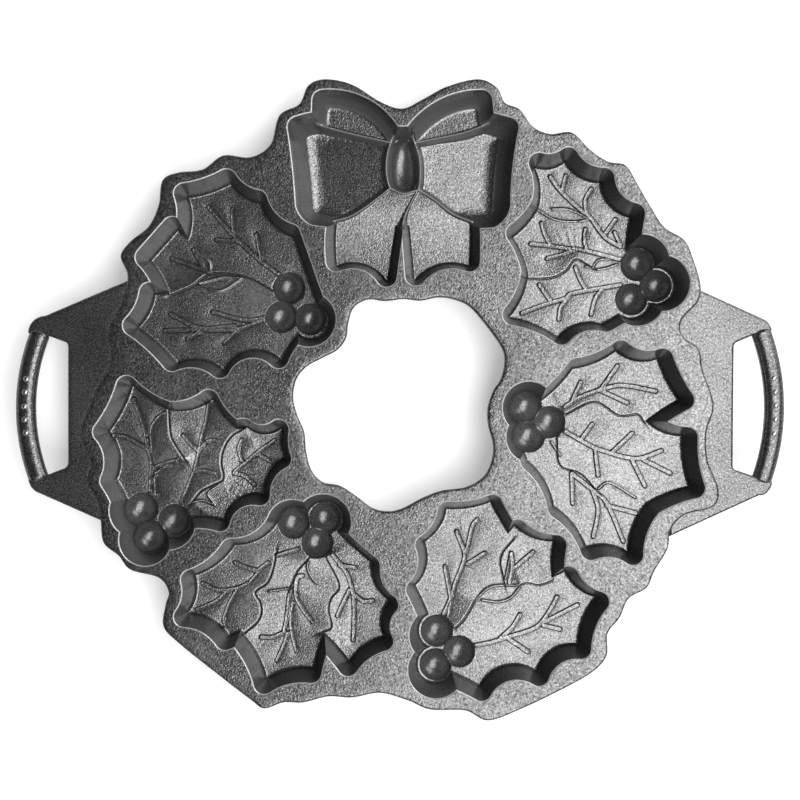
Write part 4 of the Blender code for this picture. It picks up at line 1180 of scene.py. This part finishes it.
def bracket_surfaces(side, sizes):
    """A handle bracket: its outline outside the deck, closed along a line just inside the deck's side,
    with both edges rolled."""
    points = traced(BRACKET_OUTLINES[side])[0]
    lap = offset(smooth_line(DECK_OUTLINE), -sizes.bracket_lap / MM)
    arms = points[run_of(~inside(points, lap))]
    under = lap[run_of(inside(lap, points))][::-1]
    loop = np.vstack([arms, under])
    loop = loop[np.linalg.norm(loop - np.roll(loop, 1, 0), axis=1) > LEAST_EDGE]
    radius = sizes.bracket_edge_radius / MM
    rings = rolled((loop, outward_round(loop)), radius, BRACKET_UNDER_Z, BRACKET_TOP_Z, -1)
    return [*plate_faces([rings[0][:, :2]], BRACKET_TOP_Z, BRACKET_UNDER_Z, *BRACKET_GRID), band(rings)]


def grip_path(side):
    """A grip's middle line: an arc through its three points, run on straight at each end into the
    bracket."""
    first, middle, last = [np.array(point, float) for point in GRIP_LINES[side]]
    chord = last - first
    out = np.array([-chord[1], chord[0]]) / math.hypot(*chord)
    arc = bowed_edge(first, last, (middle - first) @ out)
    lead = (arc[0] - arc[1]) / math.hypot(*(arc[0] - arc[1]))
    trail = (arc[-1] - arc[-2]) / math.hypot(*(arc[-1] - arc[-2]))
    run = np.arange(GRIP_SEAT_RUN, 0, -EDGE_STEP)[:, None]
    return np.vstack([first + run * lead, arc, last + run[::-1] * trail])


def grip_surfaces(side):
    """A grip: a rounded section, |x/a|^n + |z/b|^n = 1, carried along its arc, that closes in a
    half-round nose at each end: the section's scale is sqrt(1 - (1 - s)^2) at the share s of the nose."""
    path = grip_path(side)
    out = outward_of(path)
    travel = np.concatenate([[0], np.cumsum(np.linalg.norm(np.diff(path, axis=0), axis=1))])
    share = np.minimum(np.minimum(travel, travel[-1] - travel) / GRIP_NOSE, 1)
    swell = np.sqrt(np.clip(1 - (1 - share) ** 2, GRIP_TIP, 1))[:, None]
    across, up = oval(GRIP_HALF, GRIP_SIDES, GRIP_POWER).T
    flat = path[:, None, :] + out[:, None, :] * (across * swell)[..., None]
    rings = [raised(*ring) for ring in zip(flat, GRIP_MIDDLE_Z + up * swell)]
    return [band(rings), fanned(rings[0]), fanned(rings[-1])]


def fanned(ring):
    """A ring of points closed by the triangles from its edges to its middle."""
    index = np.arange(len(ring))
    corners = np.column_stack([index, np.roll(index, -1), np.full(len(ring), len(ring))])
    return np.vstack([ring, ring.mean(0)]), corners


def bead_surfaces(side, sizes):
    """The row of plain raised beads on a grip: each a low dome, a ball's cap with its foot sunk in the
    bar."""
    path = grip_path(side)
    first, last = BEAD_RUN
    spots = path[np.linspace(len(path) * first, len(path) * last, sizes.bead_count).astype(int)]
    radius = sizes.bead_radius / MM
    tilt = np.append(np.linspace(BEAD_TOP, BEAD_TURN, 9), BEAD_TURN)
    lift = BEAD_LIFT * radius * (np.cos(tilt) - math.cos(tilt[-1])) - BEAD_SINK
    lift[-1] -= BEAD_SKIRT
    circle = oval((1, 1), BEAD_SIDES)
    top = GRIP_MIDDLE_Z + GRIP_HALF[1]
    surfaces = []
    for spot in spots:
        rings = [
            raised(spot + radius * math.sin(way) * circle, top + rise, BEAD_RUB)
            for way, rise in zip(tilt, lift)
        ]
        surfaces += [band(rings), fanned(rings[0]), fanned(rings[-1])]
    return surfaces


def node(tree, kind, inputs=(), **settings):
    """A shader node with its settings and its inputs. An input given as a socket is linked to it, and any
    other is set to its value."""
    made = tree.nodes.new("ShaderNode" + kind)
    for label, value in settings.items():
        setattr(made, label, value)
    for label, value in dict(inputs).items():
        if isinstance(value, bpy.types.NodeSocket):
            tree.links.new(value, made.inputs[label])
        else:
            made.inputs[label].default_value = value
    return made


def maths(tree, operation, first, second):
    """A math node on two values, each a socket or a number."""
    return node(tree, "Math", {0: first, 1: second}, operation=operation).outputs[0]


def noise(tree, vector, scale, detail, roughness):
    """A noise texture on a vector."""
    inputs = {"Vector": vector, "Scale": scale, "Detail": detail, "Roughness": roughness}
    return node(tree, "TexNoise", inputs).outputs["Fac"]


def remap(tree, value, low, high, to_low, to_high):
    """A clamped map of a value from one range to another, whose target ends may be sockets."""
    inputs = {"Value": value, "From Min": low, "From Max": high, "To Min": to_low, "To Max": to_high}
    return node(tree, "MapRange", inputs).outputs["Result"]


def mixed(tree, share, first, second):
    """A colour mix, whose three inputs may be sockets."""
    inputs = {0: share, 6: first, 7: second}
    return node(tree, "Mix", inputs, data_type="RGBA", clamp_factor=True).outputs[2]


def new_group(name, inputs, outputs):
    """A shader node group, with the sockets that bring in its inputs and those that take its outputs.
    Each is named with its default, and the default's length says whether it is a number, a vector or a
    colour."""
    group = bpy.data.node_groups.new(name, "ShaderNodeTree")
    for way, sockets in (("INPUT", inputs), ("OUTPUT", outputs)):
        for label, default in sockets.items():
            kind = SOCKETS[len(default) if isinstance(default, tuple) else 1]
            group.interface.new_socket(label, in_out=way, socket_type=kind).default_value = default
    return group, group.nodes.new("NodeGroupInput").outputs, group.nodes.new("NodeGroupOutput").inputs


def sand_grain_group():
    """The skin that sand leaves on a casting, as a height: a fine grain, a coarser one twice its size,
    and a slow waviness. The grain fades where the sand let go smoothly or an edge is rubbed."""
    group, given, result = new_group(
        GRAIN,
        {
            "Vector": (0, 0, 0), "Grain scale": 900.0, "Grain depth": 1.0, "Waviness": 0.5, "Worn": 0.0,
            "Drawn": 0.0,
        },
        {"Height": 0.0, "Pits": 0.0},
    )
    where = given["Vector"]
    coarse = noise(group, where, maths(group, "MULTIPLY", given["Grain scale"], 0.5), 1.0, 0.5)
    fine = noise(group, where, given["Grain scale"], 0.0, 0.5)
    wave = noise(group, where, WAVE_SCALE, 2.0, 0.5)
    coarse_part = remap(group, coarse, *NOISE_BAND, 0.0, COARSE_SHARE)
    grain = maths(group, "ADD", coarse_part, remap(group, fine, 0.2, 0.8, 0.0, 1.0))
    let_go = maths(group, "MULTIPLY", given["Drawn"], DRAWN_SMOOTHS)
    smooth = maths(group, "ADD", let_go, maths(group, "MULTIPLY", given["Worn"], WORN_SMOOTHS))
    left = remap(group, smooth, 0.0, 1.0, 1.0, LEAST_GRAIN)
    depth = maths(group, "MULTIPLY", left, given["Grain depth"])
    grain = maths(group, "MULTIPLY", grain, depth)
    wave = maths(group, "MULTIPLY", wave, given["Waviness"])
    group.links.new(maths(group, "ADD", grain, wave), result["Height"])
    pits = remap(group, coarse, 0.32, 0.46, 1.0, 0.0)
    group.links.new(maths(group, "MULTIPLY", pits, depth), result["Pits"])
    return group


def seasoning_group():
    """Baked-on oil: the colour goes between two irons in slow clouds and specks, is darker in the grain's
    pits, is pale where an edge is rubbed, and carries painted shade, a pull towards black, in grooves and
    at the feet of veins and creases; the roughness goes between two values."""
    group, given, result = new_group(
        SEASONING,
        {
            "Vector": (0, 0, 0), "Dark iron": SHADE_BLACK, "Pale iron": WHITE, "Wall iron": WHITE,
            "Rubbed iron": WHITE, "Pits": 0.0, "Worn": 0.0, "Crease_Shade": 0.0, "Drawn": 0.0,
            "Smoothest": 0.3, "Roughest": 0.5, "Metal": 0.8, "Wall metal": 0.3,
        },
        {"Color": SHADE_BLACK, "Roughness": 0.0, "Metallic": 0.0},
    )
    where = given["Vector"]
    cloud = noise(group, where, CLOUD_SCALE, 4.0, 0.6)
    speck = noise(group, where, SPECK_SCALE, 1.0, 0.6)
    clouds = remap(group, cloud, *NOISE_BAND, *CLOUD_BLEND)
    blend = maths(group, "ADD", clouds, remap(group, speck, 0.48, 0.72, *SPECK_BLEND))
    blend = maths(group, "SUBTRACT", blend, maths(group, "MULTIPLY", given["Pits"], PITS_DARKEN))
    skin = mixed(group, blend, given["Dark iron"], given["Pale iron"])
    skin = mixed(group, given["Drawn"], skin, given["Wall iron"])
    # Painted shade: the colour is pulled towards black in grooves and at the feet of veins and creases
    skin = mixed(group, maths(group, "MULTIPLY", given["Crease_Shade"], CREASE_SHADE_DARKENS), skin, SHADE_BLACK)
    rub = maths(group, "MULTIPLY", given["Worn"], remap(group, speck, 0.3, 0.6, 0.55, 1.0))
    group.links.new(mixed(group, rub, skin, given["Rubbed iron"]), result["Color"])
    metal = remap(group, given["Drawn"], 0.0, 1.0, given["Metal"], given["Wall metal"])
    group.links.new(metal, result["Metallic"])
    pool = remap(group, noise(group, where, POOL_SCALE, 3.0, 0.6), *NOISE_BAND, *POOL_BLEND)
    rough = maths(group, "ADD", pool, maths(group, "MULTIPLY", speck, SPECK_ROUGHENS))
    rough = maths(group, "ADD", rough, maths(group, "MULTIPLY", given["Crease_Shade"], CREASE_SHADE_ROUGHENS))
    rough = maths(group, "SUBTRACT", rough, maths(group, "MULTIPLY", given["Worn"], WORN_POLISHES))
    rough = remap(group, rough, 0.0, 1.0, given["Smoothest"], given["Roughest"])
    group.links.new(rough, result["Roughness"])
    return group


def iron(name, finish, grain_scale, grain_depth, bump):
    """Seasoned cast iron on Object coordinates and the casting's marks, from the two groups."""
    known = bpy.data.materials.get(name)
    if known:
        return known
    material = bpy.data.materials.new(name)
    material.use_nodes = True
    tree = material.node_tree
    where = node(tree, "TexCoord").outputs["Object"]
    marks = {mark.title(): node(tree, "Attribute", attribute_name=mark).outputs["Fac"] for mark in MARKS}
    skin = node(tree, "Group", {
        "Vector": where, "Grain scale": grain_scale, "Grain depth": grain_depth,
        "Waviness": finish.waviness, "Worn": marks["Worn"], "Drawn": marks["Drawn"],
    }, node_tree=bpy.data.node_groups.get(GRAIN) or sand_grain_group())
    oil = node(tree, "Group", {
        "Vector": where, "Pits": skin.outputs["Pits"], **marks,
        "Dark iron": (*finish.dark_iron, 1), "Pale iron": (*finish.pale_iron, 1),
        "Wall iron": (*finish.wall_iron, 1), "Rubbed iron": (*finish.rubbed_iron, 1),
        "Smoothest": finish.smoothest, "Roughest": finish.roughest,
        "Metal": finish.metal_share, "Wall metal": finish.wall_metal,
    }, node_tree=bpy.data.node_groups.get(SEASONING) or seasoning_group())
    height = skin.outputs["Height"]
    relief = node(tree, "Bump", {"Height": height, "Strength": bump, "Distance": GRAIN_HEIGHT})
    shader = tree.nodes["Principled BSDF"]
    tree.links.new(oil.outputs["Color"], shader.inputs["Base Color"])
    tree.links.new(oil.outputs["Roughness"], shader.inputs["Roughness"])
    tree.links.new(oil.outputs["Metallic"], shader.inputs["Metallic"])
    tree.links.new(relief.outputs["Normal"], shader.inputs["Normal"])
    return material


def pan_iron(finish):
    """The deck's and the moulds' iron, which is one skin all over the casting."""
    return iron("seasoned_pan_iron", finish, finish.grain_scale, 1.0, finish.grain_bump)


def handle_iron(finish):
    """The handles' iron, rubbed a little smoother."""
    return iron("seasoned_handle_iron", finish, finish.grain_scale * 1.1, 0.8, finish.grain_bump * 0.8)


def size_setting(name, description, default, low, high):
    """A property for a length in metres."""
    return bpy.props.FloatProperty(
        name=name, description=description, default=default, min=low, max=high,
        subtype="DISTANCE", unit="LENGTH",
    )


def share_setting(name, description, default, low=0.0):
    """A property for a share, from low to 1."""
    return bpy.props.FloatProperty(
        name=name, description=description, default=default, min=low, max=1.0, subtype="FACTOR",
    )


def colour_setting(name, description, default):
    """A property for a colour."""
    return bpy.props.FloatVectorProperty(
        name=name, description=description, default=default, min=0.0, max=1.0, subtype="COLOR",
    )


def power_setting(name, description, default):
    """A property for a lamp's power."""
    return bpy.props.FloatProperty(
        name=name, description=description, default=default, min=0.0, max=200.0, unit="POWER",
    )


class CastingSizes(bpy.types.PropertyGroup):
    """The sizes of the casting's edges and relief."""

    lip_radius: size_setting(
        "Lip radius", "Round between the deck's top and a mould's wall", 0.0008, 0.0003, 0.0016,
    )
    deck_edge_radius: size_setting(
        "Deck edge", "Round along the deck's outline and the hole in its middle", 0.0013, 0.0003, 0.002,
    )
    foot_radius: size_setting(
        "Mould foot", "Round between a mould's outer wall and its underside", 0.0014, 0.0005, 0.002,
    )
    vein_height: size_setting(
        "Vein height", "How far a leaf's veins stand above its floor", 0.0012, 0.0, 0.002,
    )
    crease_height: size_setting(
        "Crease height", "How far the fine creases stand above a leaf's floor", 0.0006, 0.0, 0.0015,
    )
    leaf_step: size_setting(
        "Leaf step", "How far one leaf stands above the one beside it", 0.0009, 0.0, 0.0015,
    )
    bracket_edge_radius: size_setting(
        "Bracket edge", "Round along a handle bracket's edges", 0.0014, 0.0003, 0.002,
    )
    bracket_lap: size_setting(
        "Bracket lap", "How far a bracket runs in under the deck's side", 0.0016, 0.0005, 0.003,
    )
    bead_radius: size_setting("Bead radius", "Radius of the beads on the grips", 0.0016, 0.0008, 0.003)
    bead_count: bpy.props.IntProperty(
        name="Beads", description="Number of beads on each grip", default=5, min=1, max=12,
    )


class IronFinish(bpy.types.PropertyGroup):
    """The colour and skin of the seasoned iron."""

    dark_iron: colour_setting("Dark iron", "Colour where the seasoning is thick", (0.045, 0.045, 0.046))
    pale_iron: colour_setting("Pale iron", "Colour where the seasoning is thin", (0.195, 0.194, 0.192))
    wall_iron: colour_setting("Wall iron", "Colour of the smooth walls of the cups", (0.1, 0.1, 0.101))
    rubbed_iron: colour_setting("Rubbed iron", "Colour along the rubbed edges", (0.62, 0.61, 0.60))
    metal_share: share_setting("Metal", "How much the bare metal shows through", 0.86)
    wall_metal: share_setting(
        "Wall metal", "How much the bare metal shows through on the cups' walls", 0.3,
    )
    smoothest: share_setting("Smoothest", "Roughness where the oil pooled", 0.21, 0.05)
    roughest: share_setting("Roughest", "Roughness where the oil is thin", 0.34, 0.05)
    grain_scale: bpy.props.FloatProperty(
        name="Grain scale", description="Sand grains to the metre", default=1450.0, min=100.0, max=3000.0,
    )
    grain_bump: share_setting("Grain bump", "Strength of the sand-cast grain", 0.45)
    waviness: bpy.props.FloatProperty(
        name="Waviness", description="Slow unevenness of the cast skin", default=2.4, min=0.0, max=5.0,
    )


class StudioSetting(bpy.types.PropertyGroup):
    """The studio's lamps, floor and camera."""

    key_power: power_setting("Softbox", "Power of the softbox over the pan's right side", 60.0)
    side_power: power_setting("Side light", "Power of the low light beyond the right handle", 13.0)
    fill_level: share_setting("Fill", "Strength of the light from all round", 0.03)
    ceiling_level: share_setting("Ceiling", "How bright the studio's ceiling is in a reflection", 0.035)
    floor_colour: colour_setting("Floor", "Colour of the studio floor", (0.8, 0.8, 0.8))
    floor_glow: share_setting(
        "Floor glow", "How much of its own white the floor shows to the camera", 0.4,
    )
    camera_height: size_setting("Camera height", "Height of the camera above the deck", 0.815, 0.3, 3.0)
    frame_width: size_setting("Frame width", "Width of the picture at the deck's height", 0.400, 0.1, 2.0)


class WREATH_OT_deck(bpy.types.Operator):
    """Build the deck with its rolled outline and centre hole"""

    bl_idname = "wreath.deck"
    bl_label = "Deck"

    def execute(self, context):
        lines = [traced(rows) for rows in (*HOLLY_OUTLINES.values(), BOW_OUTLINE)]
        surfaces = deck_surfaces(lines, context.scene.wreath_sizes)
        material = pan_iron(context.scene.wreath_finish)
        cast("wreath_deck_casting", surfaces, material, ["wreath_deck"])
        return {"FINISHED"}


class WREATH_OT_bow(bpy.types.Operator):
    """Build the bow mould: loops, lobes, tails and knot"""

    bl_idname = "wreath.bow"
    bl_label = "Bow mould"

    def execute(self, context):
        line = traced(BOW_OUTLINE)
        inner = offset(line, -BOW_CORNER)

        def floor(places):
            way = np.where(inside(places, inner), 1, -1)
            return bow_floor(places, BOW_CORNER + way * nearest(places, inner, True)[0])

        lines = [([row[:2] for row in ridge], RIDGE_ROWS, RIDGE_ROWS_REACH) for ridge in BOW_RIDGES]
        pits = [(KNOT_MIDDLE, KNOT_HALF[:2], KNOT_RINGS, KNOT_SIDES)]
        bosses = [(KNOT_MIDDLE, KNOT_BOSS_HALF, KNOT_MIDDLE_Z)]
        surfaces = mould_surfaces(line, floor, bosses, context.scene.wreath_sizes, lines, pits)
        material = pan_iron(context.scene.wreath_finish)
        cast("bow_mould_casting", surfaces, material, ["bow_mould"])
        return {"FINISHED"}


class WREATH_OT_holly(bpy.types.Operator):
    """Build the six holly moulds with their leaves, veins and berries"""

    bl_idname = "wreath.holly"
    bl_label = "Holly moulds"

    def execute(self, context):
        sizes = context.scene.wreath_sizes
        material = pan_iron(context.scene.wreath_finish)
        for name, rows in HOLLY_OUTLINES.items():
            lines = [
                (knots, *line_rows)
                for kind, line_rows in LINE_ROWS.items()
                for knots in LEAF_LINES[name][kind]
            ]
            berries = HOLLY_BERRIES[name]
            pits = [(middle, (BERRY_RADIUS, BERRY_RADIUS), BERRY_RINGS, BERRY_SIDES) for middle in berries]
            bosses = [(middle, (BOSS_RADIUS,) * 3, BERRY_MIDDLE_Z) for middle in berries]
            surfaces = mould_surfaces(traced(rows), sprig_floor(name, sizes), bosses, sizes, lines, pits)
            cast("holly_mould_casting_" + name, surfaces, material, ["holly_mould_" + name])
        return {"FINISHED"}


class WREATH_OT_handles(bpy.types.Operator):
    """Build the two handle brackets, their grips and the beads on the grips"""

    bl_idname = "wreath.handles"
    bl_label = "Handles"

    def execute(self, context):
        sizes = context.scene.wreath_sizes
        material = handle_iron(context.scene.wreath_finish)
        for side in BRACKET_OUTLINES:
            for name, surfaces, nodes in (
                ("handle_bracket_casting_", bracket_surfaces(side, sizes), ["handle_bracket_" + side]),
                ("handle_grip_casting_", grip_surfaces(side), ["handle_grip_" + side]),
                ("grip_beads_", bead_surfaces(side, sizes), []),
            ):
                cast(name + side, surfaces, material, nodes)
        return {"FINISHED"}


def studio_floor(studio):
    """A square of pale paper just under the pan, which shows some white of its own to the camera, in
    gloss and through glass, and keeps the pan's shadow."""
    paper = bpy.data.materials.new("studio_paper")
    paper.use_nodes = True
    tree = paper.node_tree
    shader = tree.nodes["Principled BSDF"]
    shader.inputs["Base Color"].default_value = (*studio.floor_colour, 1)
    shader.inputs["Roughness"].default_value = PAPER_ROUGHNESS
    shader.inputs["Specular IOR Level"].default_value = 0.0
    shader.inputs["Emission Color"].default_value = WHITE
    rays = node(tree, "LightPath").outputs
    seen = maths(tree, "MAXIMUM", rays["Is Glossy Ray"], rays["Is Transmission Ray"])
    seen = maths(tree, "MAXIMUM", rays["Is Camera Ray"], seen)
    tree.links.new(maths(tree, "MULTIPLY", seen, studio.floor_glow), shader.inputs["Emission Strength"])
    mesh = bpy.data.meshes.new("studio_floor")
    corners = FLOOR_REACH * np.array([(-1, -1), (1, -1), (1, 1), (-1, 1)])
    mesh.from_pydata(np.column_stack([corners, np.full(4, -FLOOR_DROP)]).tolist(), [], [(0, 1, 2, 3)])
    mesh.materials.append(paper)
    floor = bpy.data.objects.new("studio_floor", mesh)
    bpy.context.scene.collection.objects.link(floor)


def studio_lamp(name, size, place, target, watts):
    """A rectangular lamp at a place, aimed at a target, whose upper edge stays level."""
    lamp = bpy.data.lights.new(name, "AREA")
    lamp.shape = "RECTANGLE"
    lamp.size, lamp.size_y = size
    lamp.energy = watts
    light = bpy.data.objects.new(name, lamp)
    light.location = place
    light.rotation_euler = (Vector(target) - Vector(place)).to_track_quat("-Z", "Y").to_euler()
    bpy.context.scene.collection.objects.link(light)


def studio_world(studio):
    """The light from all round: white to the camera, the fill's level on the pan, and in a reflection a
    bright horizon under a dim ceiling."""
    world = bpy.context.scene.world or bpy.data.worlds.new("studio_world")
    bpy.context.scene.world = world
    world.use_nodes = True
    tree = world.node_tree
    tree.nodes.clear()
    rays = node(tree, "LightPath").outputs
    up = node(tree, "SeparateXYZ", {0: node(tree, "TexCoord").outputs["Generated"]}).outputs["Z"]
    ceiling = remap(tree, up, *CEILING_BAND, 1.0, studio.ceiling_level)
    seen = maths(tree, "MAXIMUM", rays["Is Glossy Ray"], rays["Is Transmission Ray"])
    level = remap(tree, seen, 0.0, 1.0, studio.fill_level, ceiling)
    level = remap(tree, rays["Is Camera Ray"], 0.0, 1.0, level, 1.0)
    background = node(tree, "Background", {"Strength": level, "Color": WHITE})
    node(tree, "OutputWorld", {"Surface": background.outputs[0]})


def studio_camera(studio):
    """The camera straight above the pan, whose lens takes in the frame's width at the deck's height. It
    stands a tenth of a millimetre towards the front, so that the picture's top has a direction."""
    lens = bpy.data.cameras.new("camera")
    lens.sensor_width = SENSOR_WIDTH
    lens.lens = SENSOR_WIDTH * studio.camera_height / studio.frame_width
    lens.clip_start = CLIP_START
    camera = bpy.data.objects.new("camera", lens)
    camera.location = (0, -CAMERA_STEP, TOP_Z * MM + studio.camera_height)
    bpy.context.scene.collection.objects.link(camera)
    bpy.context.scene.camera = camera


class WREATH_OT_stage(bpy.types.Operator):
    """Build the studio: pale floor, softbox, side light, fill and camera"""

    bl_idname = "wreath.stage"
    bl_label = "Stage"

    def execute(self, context):
        studio = context.scene.wreath_studio
        studio_floor(studio)
        studio_lamp("softbox", *SOFTBOX, studio.key_power)
        studio_lamp("side_light", *SIDE_LIGHT, studio.side_power)
        studio_world(studio)
        studio_camera(studio)
        context.scene.view_settings.view_transform = "Standard"
        return {"FINISHED"}


OPERATORS = [WREATH_OT_deck, WREATH_OT_bow, WREATH_OT_holly, WREATH_OT_handles, WREATH_OT_stage]


class WREATH_PT_panel(bpy.types.Panel):
    """The wreath pan's sizes, finish and studio, and a button for each part"""

    bl_idname = "WREATH_PT_panel"
    bl_label = "Wreath pan"
    bl_space_type = "VIEW_3D"
    bl_region_type = "UI"
    bl_category = "Wreath pan"

    def draw(self, context):
        for name in PROPERTY_GROUPS:
            group = getattr(context.scene, name)
            box = self.layout.box()
            for setting in group.__annotations__:
                box.prop(group, setting)
        for operator in OPERATORS:
            self.layout.operator(operator.bl_idname)


PROPERTY_GROUPS = {"wreath_sizes": CastingSizes, "wreath_finish": IronFinish, "wreath_studio": StudioSetting}
CLASSES = [*PROPERTY_GROUPS.values(), *OPERATORS, WREATH_PT_panel]


def register():
    """Registers the classes and hangs the property groups on the scene."""
    for entry in CLASSES:
        bpy.utils.register_class(entry)
    for name, group in PROPERTY_GROUPS.items():
        setattr(bpy.types.Scene, name, bpy.props.PointerProperty(type=group))


def unregister():
    """Takes the property groups and the classes away again."""
    for name in PROPERTY_GROUPS:
        delattr(bpy.types.Scene, name)
    for entry in reversed(CLASSES):
        bpy.utils.unregister_class(entry)


def main():
    """Builds every piece and the stage."""
    register()
    bpy.ops.wreath.deck()
    bpy.ops.wreath.bow()
    bpy.ops.wreath.holly()
    bpy.ops.wreath.handles()
    bpy.ops.wreath.stage()
    bpy.context.view_layer.update()


if __name__ == "__main__":
    main()
